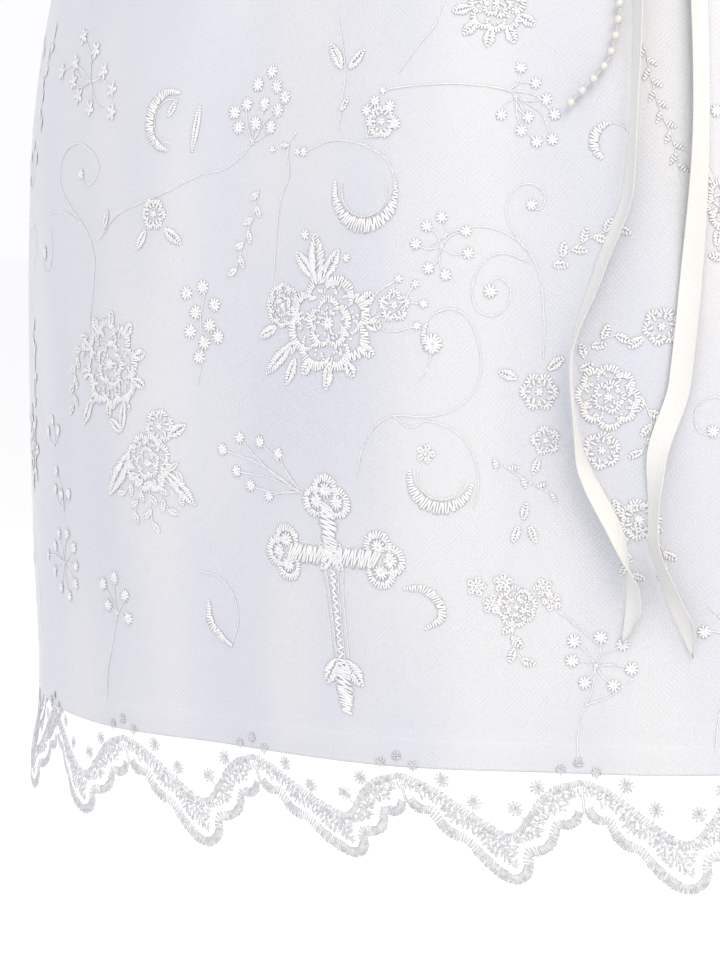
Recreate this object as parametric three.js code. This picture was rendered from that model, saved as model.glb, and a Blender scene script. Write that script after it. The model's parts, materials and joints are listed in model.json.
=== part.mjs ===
// A christening gown: a satin skirt under an embroidered net overlay with a scalloped border, a plain
// bodice with short sleeves, and a small bow with two ribbon tails and a strand of pearls.
// Millimetres, +Z up. The front faces -Y, +X is the viewer's right, and the shoulders are at height zero.

import * as THREE from "three";

// Driving sizes
const SEAM = 0.3;
const WAIST_Z = -190;
const CHEST_Z = -95;
const UNDERARM_Z = -88;
const SKIRT_LENGTH = 620;
const HEM_Z = WAIST_Z - SKIRT_LENGTH;
const SATIN = 1.5;
const NET = 1.0;
const NET_CLEAR = 1.0;
const RIBBON = 1.0;
const RIBBON_WIDTH = 10;
const PEARL = 4;
const SCALLOPS = 24;
const SCALLOP_TURN = -3.6;
const SCALLOP_TOP = -14;
const SCALLOP_DEPTH = 35;
const FLUTE = 7;
const SHOULDER = { tipX: 76, tipZ: -14, neckX: 43 };
const WAIST = { halfWidth: 86, halfDepth: 70 };
const CHEST = { halfWidth: 92, halfDepth: 74 };
const FRONT_NECK = { depth: 47, drop: 36 };
const BACK_NECK = { depth: 36, drop: 12 };
const ARMHOLE_BULGE = 24;
const SLEEVE = { slope: 42, length: 52, cuffRadius: 27, puff: 15, wall: 1.4, band: 8 };
const SASH = { wide: 11, wall: 1.2, clear: 1.2 };
const BOW = { knot: [12, 9, 11], loop: 34, fat: 11, droop: 2 };
const BUTTON = { radius: 4, thick: 2.4, count: 3, pitch: 38, first: -38 };

// The bell of the skirt: its radius at heights above the satin hem.
const BELL = [
  { height: 0, radius: 319 },
  { height: 90, radius: 322 },
  { height: 190, radius: 323 },
  { height: 270, radius: 321 },
  { height: 359, radius: 309 },
  { height: 420, radius: 288 },
  { height: 470, radius: 256 },
  { height: 520, radius: 211 },
  { height: 560, radius: 164 },
  { height: 590, radius: 123 },
  { height: 612, radius: 90 },
  { height: 620, radius: 80 },
];

// The broad folds: where each ridge or hollow runs round the skirt, in degrees from the centre front,
// how wide it is, how far it stands out, and how far it leans between the top and the hem.
const FOLDS = [
  { at: 2, wide: 8, rise: 6, lean: 2 },
  { at: -17, wide: 9, rise: 7, lean: -1 },
  { at: -31, wide: 8, rise: -6, lean: -9 },
  { at: -42, wide: 8, rise: 6, lean: -4 },
  { at: -62, wide: 9, rise: 5, lean: 5 },
  { at: -88, wide: 9, rise: -5, lean: 4 },
  { at: -112, wide: 8, rise: 6, lean: -5 },
  { at: -140, wide: 9, rise: 5, lean: 6 },
  { at: -165, wide: 8, rise: -4, lean: 2 },
  { at: 176, wide: 8, rise: 6, lean: -3 },
  { at: 148, wide: 8, rise: 5, lean: 5 },
  { at: 121, wide: 9, rise: -5, lean: -4 },
  { at: 95, wide: 8, rise: 6, lean: 4 },
  { at: 66, wide: 9, rise: 5, lean: -5 },
  { at: 40, wide: 9, rise: -4, lean: 6 },
  { at: 22, wide: 8, rise: 5, lean: 2 },
];

// The heights of the rows that the satin and the overlay share, so that their facets lie side by side.
const SKIRT_ROWS = [600, 555, 505, 455, 405, 345, 260, 130];

// Routes over the overlay: height above the satin hem, and the distance round from the centre front.
const INNER_RIBBON_ROUTE = [
  { height: 612, across: 0.3 },
  { height: 560, across: 2 },
  { height: 450, across: 3 },
  { height: 350, across: 3 },
  { height: 269, across: 0 },
  { height: 228, across: -13 },
  { height: 188, across: -25 },
  { height: 148, across: -21 },
  { height: 98, across: -3 },
  { height: 60, across: 0 },
];
const OUTER_RIBBON_ROUTE = [
  { height: 612, across: 4.6 },
  { height: 560, across: 15 },
  { height: 430, across: 24 },
  { height: 300, across: 30 },
  { height: 179, across: 22 },
  { height: 143, across: 12 },
  { height: 107, across: 9 },
  { height: 76, across: 16 },
  { height: 56, across: 25 },
];
const PEARL_ROUTE = [
  { height: 612, across: -4.4 },
  { height: 560, across: -6 },
  { height: 450, across: -6 },
  { height: 349, across: -6 },
  { height: 327, across: -9 },
  { height: 304, across: -27 },
];

// Finishes
const FINISH = {
  satin: { color: 0xe9eaf0, roughness: 0.38, metalness: 0 },
  net: { color: 0xf1f1f5, roughness: 0.8, metalness: 0 },
  ribbon: { color: 0xeceaf0, roughness: 0.32, metalness: 0 },
  pearl: { color: 0xefece8, roughness: 0.2, metalness: 0 },
};

const radians = THREE.MathUtils.degToRad;

// A smooth value from a table's rows, without overshoot between them.
function between(rows, key, value, at) {
  const order = [...rows].sort((a, b) => a[key] - b[key]);
  const x = order.map((row) => row[key]);
  const y = order.map((row) => row[value]);
  const slope = x.slice(1).map((end, i) => (y[i + 1] - y[i]) / (end - x[i]));
  const tangent = x.map((_, i) => {
    const before = slope[Math.max(0, i - 1)];
    const after = slope[Math.min(slope.length - 1, i)];
    return before * after <= 0 ? 0 : (2 * before * after) / (before + after);
  });
  const inside = Math.min(Math.max(at, x[0]), x[x.length - 1]);
  const i = Math.min(x.length - 2, x.findLastIndex((start) => start <= inside));
  const step = x[i + 1] - x[i];
  const t = (inside - x[i]) / step;
  const bend = t * t * (3 - 2 * t);
  const swing = t * (1 - t) * (1 - t) * tangent[i] - t * t * (1 - t) * tangent[i + 1];
  return y[i] * (1 - bend) + y[i + 1] * bend + swing * step;
}

function smooth(low, high, at) {
  const t = Math.min(1, Math.max(0, (at - low) / (high - low)));
  return t * t * (3 - 2 * t);
}

// How far the broad folds stand out at a place on the skirt.
function foldRise(angle, height) {
  const held = smooth(SKIRT_LENGTH, SKIRT_LENGTH - 170, height);
  const down = 1 - height / SKIRT_LENGTH;
  const turns = FOLDS.map((fold) => {
    const away = THREE.MathUtils.euclideanModulo(angle - fold.at - fold.lean * down + 180, 360) - 180;
    return fold.rise * Math.exp(-((away / fold.wide) ** 2));
  });
  return held * turns.reduce((sum, rise) => sum + rise, 0);
}

// How far the loose border of the overlay flutes out below the hem.
function fluteRise(angle, height) {
  const turn = radians((angle - SCALLOP_TURN) * SCALLOPS);
  return FLUTE * smooth(0, -45, height) * 0.5 * (1 - Math.cos(turn));
}

function skirtPoint(angle, height, extra = 0) {
  const bell = between(BELL, "height", "radius", height) + foldRise(angle, height) + extra;
  const round = smooth(SKIRT_LENGTH, SKIRT_LENGTH - 120, height);
  const wide = bell + (WAIST.halfWidth - BELL[BELL.length - 1].radius) * (1 - round);
  const deep = bell + (WAIST.halfDepth - BELL[BELL.length - 1].radius) * (1 - round);
  const turn = radians(angle);
  return new THREE.Vector3(wide * Math.sin(turn), -deep * Math.cos(turn), HEM_Z + height);
}

// The outward normal of a surface given as a function of two values.
function normalOf(surface, u, v, flip) {
  const du = 1e-3;
  const along = surface(u + du, v).sub(surface(u - du, v));
  const across = surface(u, v + du).sub(surface(u, v - du));
  const normal = along.cross(across).normalize();
  return flip ? normal.negate() : normal;
}

// A place on the skirt, lifted off the satin along the cloth's normal.
function onSkirt(angle, height, lift, extra = () => 0) {
  const surface = (a, h) => skirtPoint(a, h, extra(a, h));
  return surface(angle, height).addScaledVector(normalOf(surface, angle, height, false), lift);
}

// A closed wall of cloth between a grid of outer points and the same grid moved in. A ring closes on
// itself across its columns.
function wall(outer, inner, ring = false) {
  const rows = outer.length;
  const columns = outer[0].length;
  const points = [...outer.flat(), ...inner.flat()];
  const out = (i, j) => i * columns + (j % columns);
  const inn = (i, j) => rows * columns + out(i, j);
  const faces = [];
  const quad = (a, b, c, d) => faces.push(a, b, c, a, c, d);
  const last = ring ? columns : columns - 1;
  for (let i = 0; i < rows - 1; i += 1) {
    for (let j = 0; j < last; j += 1) {
      quad(out(i, j), out(i + 1, j), out(i + 1, j + 1), out(i, j + 1));
      quad(inn(i, j), inn(i, j + 1), inn(i + 1, j + 1), inn(i + 1, j));
    }
  }
  for (let j = 0; j < last; j += 1) {
    quad(out(0, j), out(0, j + 1), inn(0, j + 1), inn(0, j));
    quad(out(rows - 1, j + 1), out(rows - 1, j), inn(rows - 1, j), inn(rows - 1, j + 1));
  }
  if (!ring) {
    for (let i = 0; i < rows - 1; i += 1) {
      quad(out(i + 1, 0), out(i, 0), inn(i, 0), inn(i + 1, 0));
      quad(out(i, last), out(i + 1, last), inn(i + 1, last), inn(i, last));
    }
  }
  return closedMesh(points, faces);
}

// Geometry from shared points, with its faces turned outwards.
function closedMesh(points, faces) {
  const volume = faces.reduce((sum, _, k) => {
    if (k % 3) return sum;
    const [a, b, c] = [points[faces[k]], points[faces[k + 1]], points[faces[k + 2]]];
    return sum + a.dot(b.clone().cross(c));
  }, 0);
  const turned = volume < 0 ? faces.map((_, k) => faces[k - (k % 3) + [0, 2, 1][k % 3]]) : faces;
  const geometry = new THREE.BufferGeometry().setFromPoints(points);
  geometry.setIndex(turned);
  geometry.computeVertexNormals();
  return geometry;
}

function steps(from, to, count) {
  return Array.from({ length: count + 1 }, (_, i) => from + ((to - from) * i) / count);
}

// The angles of a half skirt's columns, four to a scallop, from side seam to side seam.
function columnAngles(middle, height) {
  const seam = THREE.MathUtils.radToDeg(SEAM / 2 / between(BELL, "height", "radius", height));
  return steps(-1, 1, SCALLOPS * 2).map((share) => middle + SCALLOP_TURN + share * (90 - seam));
}

// A satin panel of the skirt, from one side seam to the other.
function skirtPanel(middle) {
  const heights = [SKIRT_LENGTH - SEAM, ...SKIRT_ROWS, 0];
  const row = (height, lift) => columnAngles(middle, height).map((angle) => onSkirt(angle, height, lift));
  return wall(heights.map((h) => row(h, 0)), heights.map((h) => row(h, -SATIN)));
}

// How low the scalloped edge hangs, as a height above the satin hem.
function scallopEdge(angle) {
  const turn = radians((angle - SCALLOP_TURN) * SCALLOPS * 0.5);
  return SCALLOP_TOP - SCALLOP_DEPTH * Math.abs(Math.sin(turn)) ** 0.8;
}

// A panel of the overlay, whose seams lie where two scallops meet.
function overlayPanel(middle) {
  const heights = [SKIRT_LENGTH - 3, ...SKIRT_ROWS, 0];
  const row = (height, lift) =>
    columnAngles(middle, height).map((angle) => onSkirt(angle, height, lift, fluteRise));
  const edge = (lift) =>
    columnAngles(middle, 0).map((angle) => onSkirt(angle, scallopEdge(angle), lift, fluteRise));
  const grid = (lift) => [...heights.map((height) => row(height, lift)), edge(lift)];
  return wall(grid(NET_CLEAR + NET), grid(NET_CLEAR));
}

// A smooth route over the overlay, as heights and distances round from the centre front.
function routePoint(rows, share) {
  const top = rows[0].height;
  const height = top + (rows[rows.length - 1].height - top) * share;
  return { height, across: between(rows, "height", "across", height) };
}

function ribbonTail(rows) {
  const half = RIBBON_WIDTH / 2;
  const place = (share, side, lift) => {
    const here = routePoint(rows, share);
    const ahead = routePoint(rows, Math.min(1, share + 0.01));
    const behind = routePoint(rows, Math.max(0, share - 0.01));
    const run = Math.hypot(ahead.across - behind.across, ahead.height - behind.height);
    const pinch = 0.34 + 0.66 * smooth(0, 0.14, share);
    const across = here.across + (side * half * pinch * (behind.height - ahead.height)) / run;
    const height = here.height + (side * half * pinch * (ahead.across - behind.across)) / run;
    const radius = between(BELL, "height", "radius", height);
    return onSkirt(THREE.MathUtils.radToDeg(across / radius), height, lift);
  };
  const base = NET_CLEAR + NET + SEAM + 0.3;
  const grid = (lift) => steps(0, 1, 26).map((share) => [-1, 1].map((side) => place(share, side, lift)));
  return wall(grid(base + RIBBON), grid(base));
}

function pearlStrand() {
  const lift = NET_CLEAR + NET + SEAM + 0.4 + PEARL / 2;
  const path = new THREE.CatmullRomCurve3(
    steps(0, 1, 34).map((share) => {
      const { height, across } = routePoint(PEARL_ROUTE, share);
      const radius = between(BELL, "height", "radius", height);
      return onSkirt(THREE.MathUtils.radToDeg(across / radius), height, lift);
    }),
  );
  const section = new THREE.Shape();
  section.absarc(0, 0, PEARL / 2, 0, 2 * Math.PI);
  return new THREE.ExtrudeGeometry(section, { steps: 48, curveSegments: 4, extrudePath: path, bevelEnabled: false });
}

// The bodice: an ellipse up to the chest, and above it each column curves to the shoulder, neck or armhole.
function torso(angle, z) {
  const up = smooth(WAIST_Z, CHEST_Z, z);
  const wide = WAIST.halfWidth + (CHEST.halfWidth - WAIST.halfWidth) * up;
  const deep = WAIST.halfDepth + (CHEST.halfDepth - WAIST.halfDepth) * up;
  return new THREE.Vector3(wide * Math.sin(radians(angle)), -deep * Math.cos(radians(angle)), z);
}

const TIP_SHARE = 0.62;
const NECK_SHARE = 0.36;

// The bodice's top edge at a share of the way from the centre to the side seam, and the way that the
// cloth runs up to it. The front is at -Y, and the caller mirrors it for the back.
function topEdge(share, neck) {
  const side = Math.sign(share) || 1;
  const s = Math.abs(share);
  const shoulderGap = SEAM / 2 + 0.2;
  const overShoulder = new THREE.Vector3(0, 1, 0.06);
  if (s >= TIP_SHARE) {
    const q = (1 - s) / (1 - TIP_SHARE);
    const y = -shoulderGap * q - SEAM * 0.5 * (1 - q) - ARMHOLE_BULGE * Math.sin(Math.PI * q);
    const x = CHEST.halfWidth - 1 - (CHEST.halfWidth - 1 - SHOULDER.tipX) * q * q;
    const z = UNDERARM_Z + (SHOULDER.tipZ - UNDERARM_Z) * q;
    const run = new THREE.Vector3(0, 0, 1).lerp(overShoulder, q * q);
    return { point: new THREE.Vector3(side * x, y, z), run: run.normalize() };
  }
  if (s >= NECK_SHARE) {
    const q = (TIP_SHARE - s) / (TIP_SHARE - NECK_SHARE);
    const x = SHOULDER.tipX + (SHOULDER.neckX - SHOULDER.tipX) * q;
    const z = SHOULDER.tipZ * (1 - q);
    return { point: new THREE.Vector3(side * x, -shoulderGap, z), run: overShoulder.normalize() };
  }
  const turn = (Math.PI / 2) * (1 - s / NECK_SHARE);
  const x = SHOULDER.neckX * Math.cos(turn);
  const y = -shoulderGap - neck.depth * Math.sin(turn);
  const z = -neck.drop * Math.sin(turn) ** 1.5;
  const run = overShoulder.lerp(new THREE.Vector3(0, 0.3, 1), Math.sin(turn));
  return { point: new THREE.Vector3(side * x, y, z), run: run.normalize() };
}

// A point on the front or back of the bodice: across from side seam to side seam, up from waist to edge.
function bodicePoint(share, up, neck, back) {
  const split = 0.45;
  const angle = 90 * share;
  let point;
  if (up <= split) {
    point = torso(angle, WAIST_Z + ((CHEST_Z - WAIST_Z) * up) / split);
  } else {
    const chest = torso(angle, CHEST_Z);
    const edge = topEdge(share, neck);
    const reach = 0.38 * chest.distanceTo(edge.point);
    const rise = chest.clone().add(new THREE.Vector3(0, 0, reach));
    const arrive = edge.point.clone().addScaledVector(edge.run, -reach);
    point = new THREE.CubicBezierCurve3(chest, rise, arrive, edge.point).getPoint((up - split) / (1 - split));
  }
  if (back) point.y = -point.y;
  return point;
}

function bodicePanel(shares, neck, back) {
  const ups = [0, 0.22, 0.45, 0.55, 0.66, 0.78, 0.9, 1];
  const surface = (share, up) => bodicePoint(share, up, neck, back);
  const inside = (share, up) => {
    const s = Math.min(0.999, Math.max(-0.999, share));
    const normal = normalOf(surface, s, Math.min(0.998, Math.max(0.002, up)), back);
    if (Math.abs(share) > 0.99) normal.y = 0;
    return surface(share, up).addScaledVector(normal.normalize(), -SATIN);
  };
  const clear = (share) => Math.sign(share) * Math.min(Math.abs(share), 1 - SEAM / 2 / CHEST.halfDepth / 1.5);
  const outer = ups.map((up) => shares.map((share) => surface(clear(share), up)));
  return wall(outer, ups.map((up) => shares.map((share) => inside(clear(share), up))));
}

const HALF_SHARES = [...steps(0.06, NECK_SHARE, 5), 0.49, TIP_SHARE, 0.7, 0.8, 0.9, 1];
const FRONT_SHARES = [...HALF_SHARES.map((s) => -s).reverse(), 0, ...HALF_SHARES];

// The armhole's loop, once round from the underarm up the front, over the shoulder and down the back.
function armholePoint(turn) {
  const share = THREE.MathUtils.euclideanModulo(turn, 1);
  const back = share > 0.5;
  const q = back ? 2 - 2 * share : 2 * share;
  const { point } = topEdge(1 - (1 - TIP_SHARE) * q, FRONT_NECK);
  if (back) point.y = -point.y;
  if (share === 0 || share === 0.5) point.y = 0;
  return point;
}

// A place on the right sleeve, from the armhole to the cuff, as a loop of columns that puff out.
const ARM = new THREE.Vector3(Math.cos(radians(SLEEVE.slope)), 0, -Math.sin(radians(SLEEVE.slope)));
const ARM_UP = new THREE.Vector3(-ARM.z, 0, ARM.x);
const ARMHOLE_CENTRE = new THREE.Vector3((SHOULDER.tipX + CHEST.halfWidth - 1) / 2, 0, (UNDERARM_Z + SHOULDER.tipZ) / 2);
const CUFF_CENTRE = ARMHOLE_CENTRE.clone().addScaledVector(ARM, SLEEVE.length);

function cuffPoint(turn, radius, along) {
  const around = 2 * Math.PI * turn;
  return CUFF_CENTRE.clone()
    .addScaledVector(ARM, along)
    .addScaledVector(ARM_UP, -radius * Math.cos(around))
    .add(new THREE.Vector3(0, -radius * Math.sin(around), 0));
}

function sleevePoint(turn, along, depth) {
  const hole = armholePoint(turn);
  const out = hole.clone().sub(ARMHOLE_CENTRE).setX(0).normalize();
  const start = hole.clone().add(new THREE.Vector3(0.7, 0, 0)).addScaledVector(out, -depth);
  const end = cuffPoint(turn, SLEEVE.cuffRadius - depth, 0);
  const outEnd = end.clone().sub(CUFF_CENTRE).normalize();
  const puff = SLEEVE.puff * (0.3 + 0.7 * smooth(-1, 1, -Math.cos(2 * Math.PI * turn)));
  const leave = start.clone().add(new THREE.Vector3(18, 0, 0)).addScaledVector(out, puff);
  const arrive = end.clone().addScaledVector(ARM, -10).addScaledVector(outEnd, puff);
  return new THREE.CubicBezierCurve3(start, leave, arrive, end).getPoint(along);
}

function mirrored(rows, left) {
  return left ? rows.map((row) => row.map((p) => new THREE.Vector3(-p.x, p.y, p.z))) : rows;
}

function sleeve(left) {
  const grid = (depth) =>
    steps(0, 1, 5).map((along) => steps(0, 15 / 16, 15).map((turn) => sleevePoint(turn, along, depth)));
  return wall(mirrored(grid(0), left), mirrored(grid(SLEEVE.wall), left), true);
}

function cuff(left) {
  const ring = (radius, along) => steps(0, 19 / 20, 19).map((turn) => cuffPoint(turn, radius, along));
  const grid = (radius) => [SEAM, SEAM + SLEEVE.band].map((along) => ring(radius, along));
  return wall(mirrored(grid(SLEEVE.cuffRadius + 0.6), left), mirrored(grid(SLEEVE.cuffRadius - 1), left), true);
}

// A narrow round binding that follows the neck edge, open at the centre back.
function neckBinding() {
  const thick = 2;
  const lifted = (share, neck, back) => {
    const { point } = topEdge(share, neck);
    const turn = (Math.PI / 2) * (1 - Math.abs(share) / NECK_SHARE);
    const inward = new THREE.Vector3(-Math.sign(share) * Math.cos(turn), 0.3 * Math.sin(turn), Math.sin(turn));
    const place = point.addScaledVector(inward.normalize(), thick + SEAM + 0.65);
    place.z -= (SATIN / 2) * Math.cos(turn);
    place.y = back ? -place.y : place.y;
    return place;
  };
  const ends = NECK_SHARE * 0.99;
  const front = steps(-ends, ends, 16).map((share) => lifted(share, FRONT_NECK, false));
  const backRight = steps(ends, 0.012, 8).map((share) => lifted(share, BACK_NECK, true));
  const backLeft = steps(-0.012, -ends, 8).map((share) => lifted(share, BACK_NECK, true));
  const path = new THREE.CatmullRomCurve3([...backLeft, ...front, ...backRight], false, "centripetal");
  const section = new THREE.Shape();
  section.absarc(0, 0, thick, 0, 2 * Math.PI);
  return new THREE.ExtrudeGeometry(section, { steps: 36, curveSegments: 4, extrudePath: path, bevelEnabled: false });
}

function waistSash() {
  const low = WAIST_Z + 1;
  const ring = (depth) =>
    [low + SASH.wide, low].map((z) =>
      steps(0, 351, 39).map((angle) => {
        const point = torso(angle, z);
        const away = new THREE.Vector3(point.x, point.y, 0).normalize();
        return point.addScaledVector(away, depth);
      }),
    );
  return wall(ring(SASH.clear + SASH.wall), ring(SASH.clear), true);
}

const SASH_FRONT = new THREE.Vector3(0, -WAIST.halfDepth - SASH.clear - SASH.wall - 0.9, WAIST_Z + 1 + SASH.wide / 2);

// A ribbon loop of the bow, seen from above as a flat drop that follows the waist.
function bowLoop() {
  const outline = (inset) => {
    const near = inset;
    const far = BOW.loop - inset;
    const half = BOW.fat / 2 - inset;
    return new THREE.SplineCurve([
      new THREE.Vector2(near, -0.9),
      new THREE.Vector2(far * 0.55, -half),
      new THREE.Vector2(far, 0),
      new THREE.Vector2(far * 0.55, half),
      new THREE.Vector2(near, 0.9),
    ]).getPoints(18);
  };
  const shape = new THREE.Shape(outline(0));
  shape.holes.push(new THREE.Path(outline(RIBBON).reverse()));
  const geometry = new THREE.ExtrudeGeometry(shape, { depth: RIBBON_WIDTH, bevelEnabled: false });
  return geometry.translate(0, 0, -RIBBON_WIDTH / 2);
}

function bowKnot() {
  const [wide, deep, tall] = BOW.knot;
  const shape = new THREE.Shape();
  shape.absellipse(0, 0, wide / 2, tall / 2, 0, 2 * Math.PI);
  const options = { depth: deep - 2, bevelThickness: 1, bevelSize: 1, bevelOffset: -1, bevelSegments: 2 };
  const geometry = new THREE.ExtrudeGeometry(shape, { ...options, curveSegments: 12 });
  return geometry.translate(0, 0, 1).rotateX(Math.PI / 2);
}

const gown = new THREE.Group();

function add(name, finish, geometry, parent = gown) {
  const mesh = new THREE.Mesh(geometry, new THREE.MeshStandardMaterial(FINISH[finish]));
  mesh.name = name;
  parent.add(mesh);
  return mesh;
}

function addBow() {
  const bow = new THREE.Group();
  bow.position.copy(SASH_FRONT);
  add("bow_knot", "ribbon", bowKnot(), bow).position.y = 0.6;
  for (const [name, side] of [["bow_loop_left", -1], ["bow_loop_right", 1]]) {
    const loop = add(name, "ribbon", bowLoop(), bow);
    loop.position.set(side * (BOW.knot[0] / 2 + SEAM), -BOW.fat / 2 - 1.2, 0);
    loop.rotation.y = radians(side > 0 ? BOW.droop : 180 - BOW.droop);
  }
  gown.add(bow);
}

function addButtons() {
  const { radius, thick, count, pitch, first } = BUTTON;
  const middle = steps(0, 1, 200).map((up) => bodicePoint(0, up, BACK_NECK, true));
  for (let i = 0; i < count; i += 1) {
    const at = middle.findIndex((point) => point.z >= first - i * pitch);
    const run = middle[at + 1].clone().sub(middle[at - 1]).normalize();
    const normal = new THREE.Vector3(0, run.z, -run.y);
    const button = add(`button_${i + 1}`, "pearl", new THREE.CylinderGeometry(radius, radius, thick, 16));
    button.quaternion.setFromUnitVectors(new THREE.Vector3(0, 1, 0), normal);
    button.position.copy(middle[at]).addScaledVector(normal, thick / 2 + SEAM + 0.15);
  }
}

add("skirt_front", "satin", skirtPanel(0));
add("skirt_back", "satin", skirtPanel(180));
add("overlay_front", "net", overlayPanel(0));
add("overlay_back", "net", overlayPanel(180));
add("bodice_front", "satin", bodicePanel(FRONT_SHARES, FRONT_NECK, false));
add("bodice_back_right", "satin", bodicePanel([0.002, ...HALF_SHARES], BACK_NECK, true));
add("bodice_back_left", "satin", bodicePanel([0.002, ...HALF_SHARES].map((s) => -s).reverse(), BACK_NECK, true));
add("sleeve_right", "satin", sleeve(false));
add("sleeve_left", "satin", sleeve(true));
add("cuff_right", "satin", cuff(false));
add("cuff_left", "satin", cuff(true));
add("neck_binding", "satin", neckBinding());
add("waist_sash", "ribbon", waistSash());
addBow();
addButtons();
add("ribbon_inner", "ribbon", ribbonTail(INNER_RIBBON_ROUTE));
add("ribbon_outer", "ribbon", ribbonTail(OUTER_RIBBON_ROUTE));
add("pearl_strand", "pearl", pearlStrand());

export default gown;
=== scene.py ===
"""The looks of a christening gown.

A satin skirt and bodice, an embroidered net overlay with a scalloped lace border, a sash with a bow, two
ribbon tails and a strand of pearls. Sizes are in millimetres until a mesh is made, and the frame is in
metres: the front faces -Y, +Z is up and the shoulders are at height zero.
"""

import json
import logging
import math
from dataclasses import dataclass, field
from enum import Enum
from typing import Any, Sequence

import bmesh
import bpy
import numpy as np
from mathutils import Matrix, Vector

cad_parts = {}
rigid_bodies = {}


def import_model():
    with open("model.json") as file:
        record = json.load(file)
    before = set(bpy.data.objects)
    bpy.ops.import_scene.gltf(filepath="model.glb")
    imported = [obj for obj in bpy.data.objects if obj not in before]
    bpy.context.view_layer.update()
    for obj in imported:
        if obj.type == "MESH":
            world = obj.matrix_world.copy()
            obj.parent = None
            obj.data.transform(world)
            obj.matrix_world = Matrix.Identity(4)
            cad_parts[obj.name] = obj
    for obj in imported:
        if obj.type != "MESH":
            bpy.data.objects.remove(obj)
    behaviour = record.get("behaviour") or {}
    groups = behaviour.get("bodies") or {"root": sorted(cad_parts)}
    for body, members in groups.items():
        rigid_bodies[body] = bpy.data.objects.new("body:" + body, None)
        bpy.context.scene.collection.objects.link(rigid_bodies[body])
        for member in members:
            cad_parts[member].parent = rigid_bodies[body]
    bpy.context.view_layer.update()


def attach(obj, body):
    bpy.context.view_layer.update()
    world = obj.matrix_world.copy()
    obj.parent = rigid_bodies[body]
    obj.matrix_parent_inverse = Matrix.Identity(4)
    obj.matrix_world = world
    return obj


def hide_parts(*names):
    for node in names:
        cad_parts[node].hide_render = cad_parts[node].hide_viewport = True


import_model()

Array = np.ndarray
Path = Sequence[tuple[float, float]]
log = logging.getLogger("gown")

MM = 0.001
SKIRT_LENGTH = 620.0
WAIST_Z = -190.0
HEM_Z = WAIST_Z - SKIRT_LENGTH
ROUND = 322.0
REPEATS = 4
REPEAT_TURN = 360.0 / REPEATS
SCALLOPS = 24
SCALLOP_TURN = -3.6
SCALLOP_WIDE = 83.5
NET_TOP = 0.34
HEM_WIDE = 13.0
HEM_TURNED = 0.45
UV_MIDDLE = 0.55
SEAM = 0.3

# Height above the satin hem, and the bell's radius there.
BELL_ROWS = (
    (0, 319), (90, 322), (190, 323), (270, 321), (359, 309), (420, 288),
    (470, 256), (520, 211), (560, 164), (590, 123), (612, 90), (620, 80),
)
# Degrees from the centre front, width in degrees, height in mm, and degrees of lean down to the hem.
FOLD_ROWS = (
    (2, 8, 6, 2), (-17, 9, 7, -1), (-31, 8, -6, -9), (-42, 8, 6, -4), (-62, 9, 5, 5), (-88, 9, -5, 4),
    (-112, 8, 6, -5), (-140, 9, 5, 6), (-165, 8, -4, 2), (176, 8, 6, -3), (148, 8, 5, 5),
    (121, 9, -5, -4), (95, 8, 6, 4), (66, 9, 5, -5), (40, 9, -4, 6), (22, 8, 5, 2),
)
# Height above the satin hem, and the distance across from the centre front.
INNER_RIBBON_ROWS = (
    (612, 0.3), (560, 2), (450, 3), (350, 3), (269, 0), (228, -13), (188, -25), (148, -21), (104, -2),
    (82, 3), (60, 1.5),
)
OUTER_RIBBON_ROWS = (
    (612, 4.6), (560, 15), (430, 24), (300, 30), (179, 22), (143, 12), (112, 11), (84, 19), (56, 32),
)
PEARL_ROWS = ((612, -4.4), (560, -5.5), (450, -5), (347, -5), (325, -8.6), (301.5, -27.5))
# Height above the satin hem, and how many degrees the ribbon is rolled off the cloth.
INNER_ROLL_ROWS = (
    (612, 0), (450, 26), (350, 62), (300, 68), (262, 58), (240, 55), (215, 62), (200, 74), (188, 84),
    (165, 88),
    (152, 98), (138, 120), (122, 130), (110, 124), (100, 102), (94, 80), (86, 52), (76, 42), (60, 40),
)
OUTER_ROLL_ROWS = (
    (612, 0), (450, -24), (300, -34), (190, 12), (165, 4), (143, 30), (125, 60), (100, 64), (84, 55),
    (56, 42),
)


def between(rows: Sequence[tuple[float, float]], at: Array | float) -> Array:
    """Reads a smooth value from a table's rows, without overshoot between them.

    Args:
        rows: pairs of place and value, in any order.
        at: the places to read.

    Returns:
        The value at each place.
    """
    x, y = np.array(sorted(rows), float).T
    slope = np.diff(y) / np.diff(x)
    before = np.concatenate([slope[:1], slope])
    after = np.concatenate([slope, slope[-1:]])
    total = np.where(before + after == 0, 1.0, before + after)
    tangent = np.where(before * after > 0, 2 * before * after / total, 0.0)
    inside = np.clip(at, x[0], x[-1])
    i = np.clip(np.searchsorted(x, inside, side="right") - 1, 0, len(x) - 2)
    step = x[i + 1] - x[i]
    t = (inside - x[i]) / step
    bend = t * t * (3 - 2 * t)
    swing = t * (1 - t) ** 2 * tangent[i] - t * t * (1 - t) * tangent[i + 1]
    return y[i] * (1 - bend) + y[i + 1] * bend + swing * step


def smooth(low: float, high: float, at: Array | float) -> Array:
    """Goes softly from 0 at low to 1 at high.

    Args:
        low: the place where it is 0.
        high: the place where it is 1.
        at: the places to read.

    Returns:
        The share at each place.
    """
    t = np.clip((np.asarray(at, float) - low) / (high - low), 0, 1)
    return t * t * (3 - 2 * t)


def unit(vectors: Array) -> Array:
    """Gives vectors the length of one."""
    return vectors / np.maximum(np.linalg.norm(vectors, axis=-1, keepdims=True), 1e-9)


def heading(degrees: float) -> Array:
    """Gives the unit direction of an angle, anticlockwise from across."""
    return np.array([math.cos(math.radians(degrees)), math.sin(math.radians(degrees))])


def bearing(ways: Array) -> Array:
    """Gives the angles of directions, in degrees anticlockwise from across."""
    return np.degrees(np.arctan2(ways[:, 1], ways[:, 0]))


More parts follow.
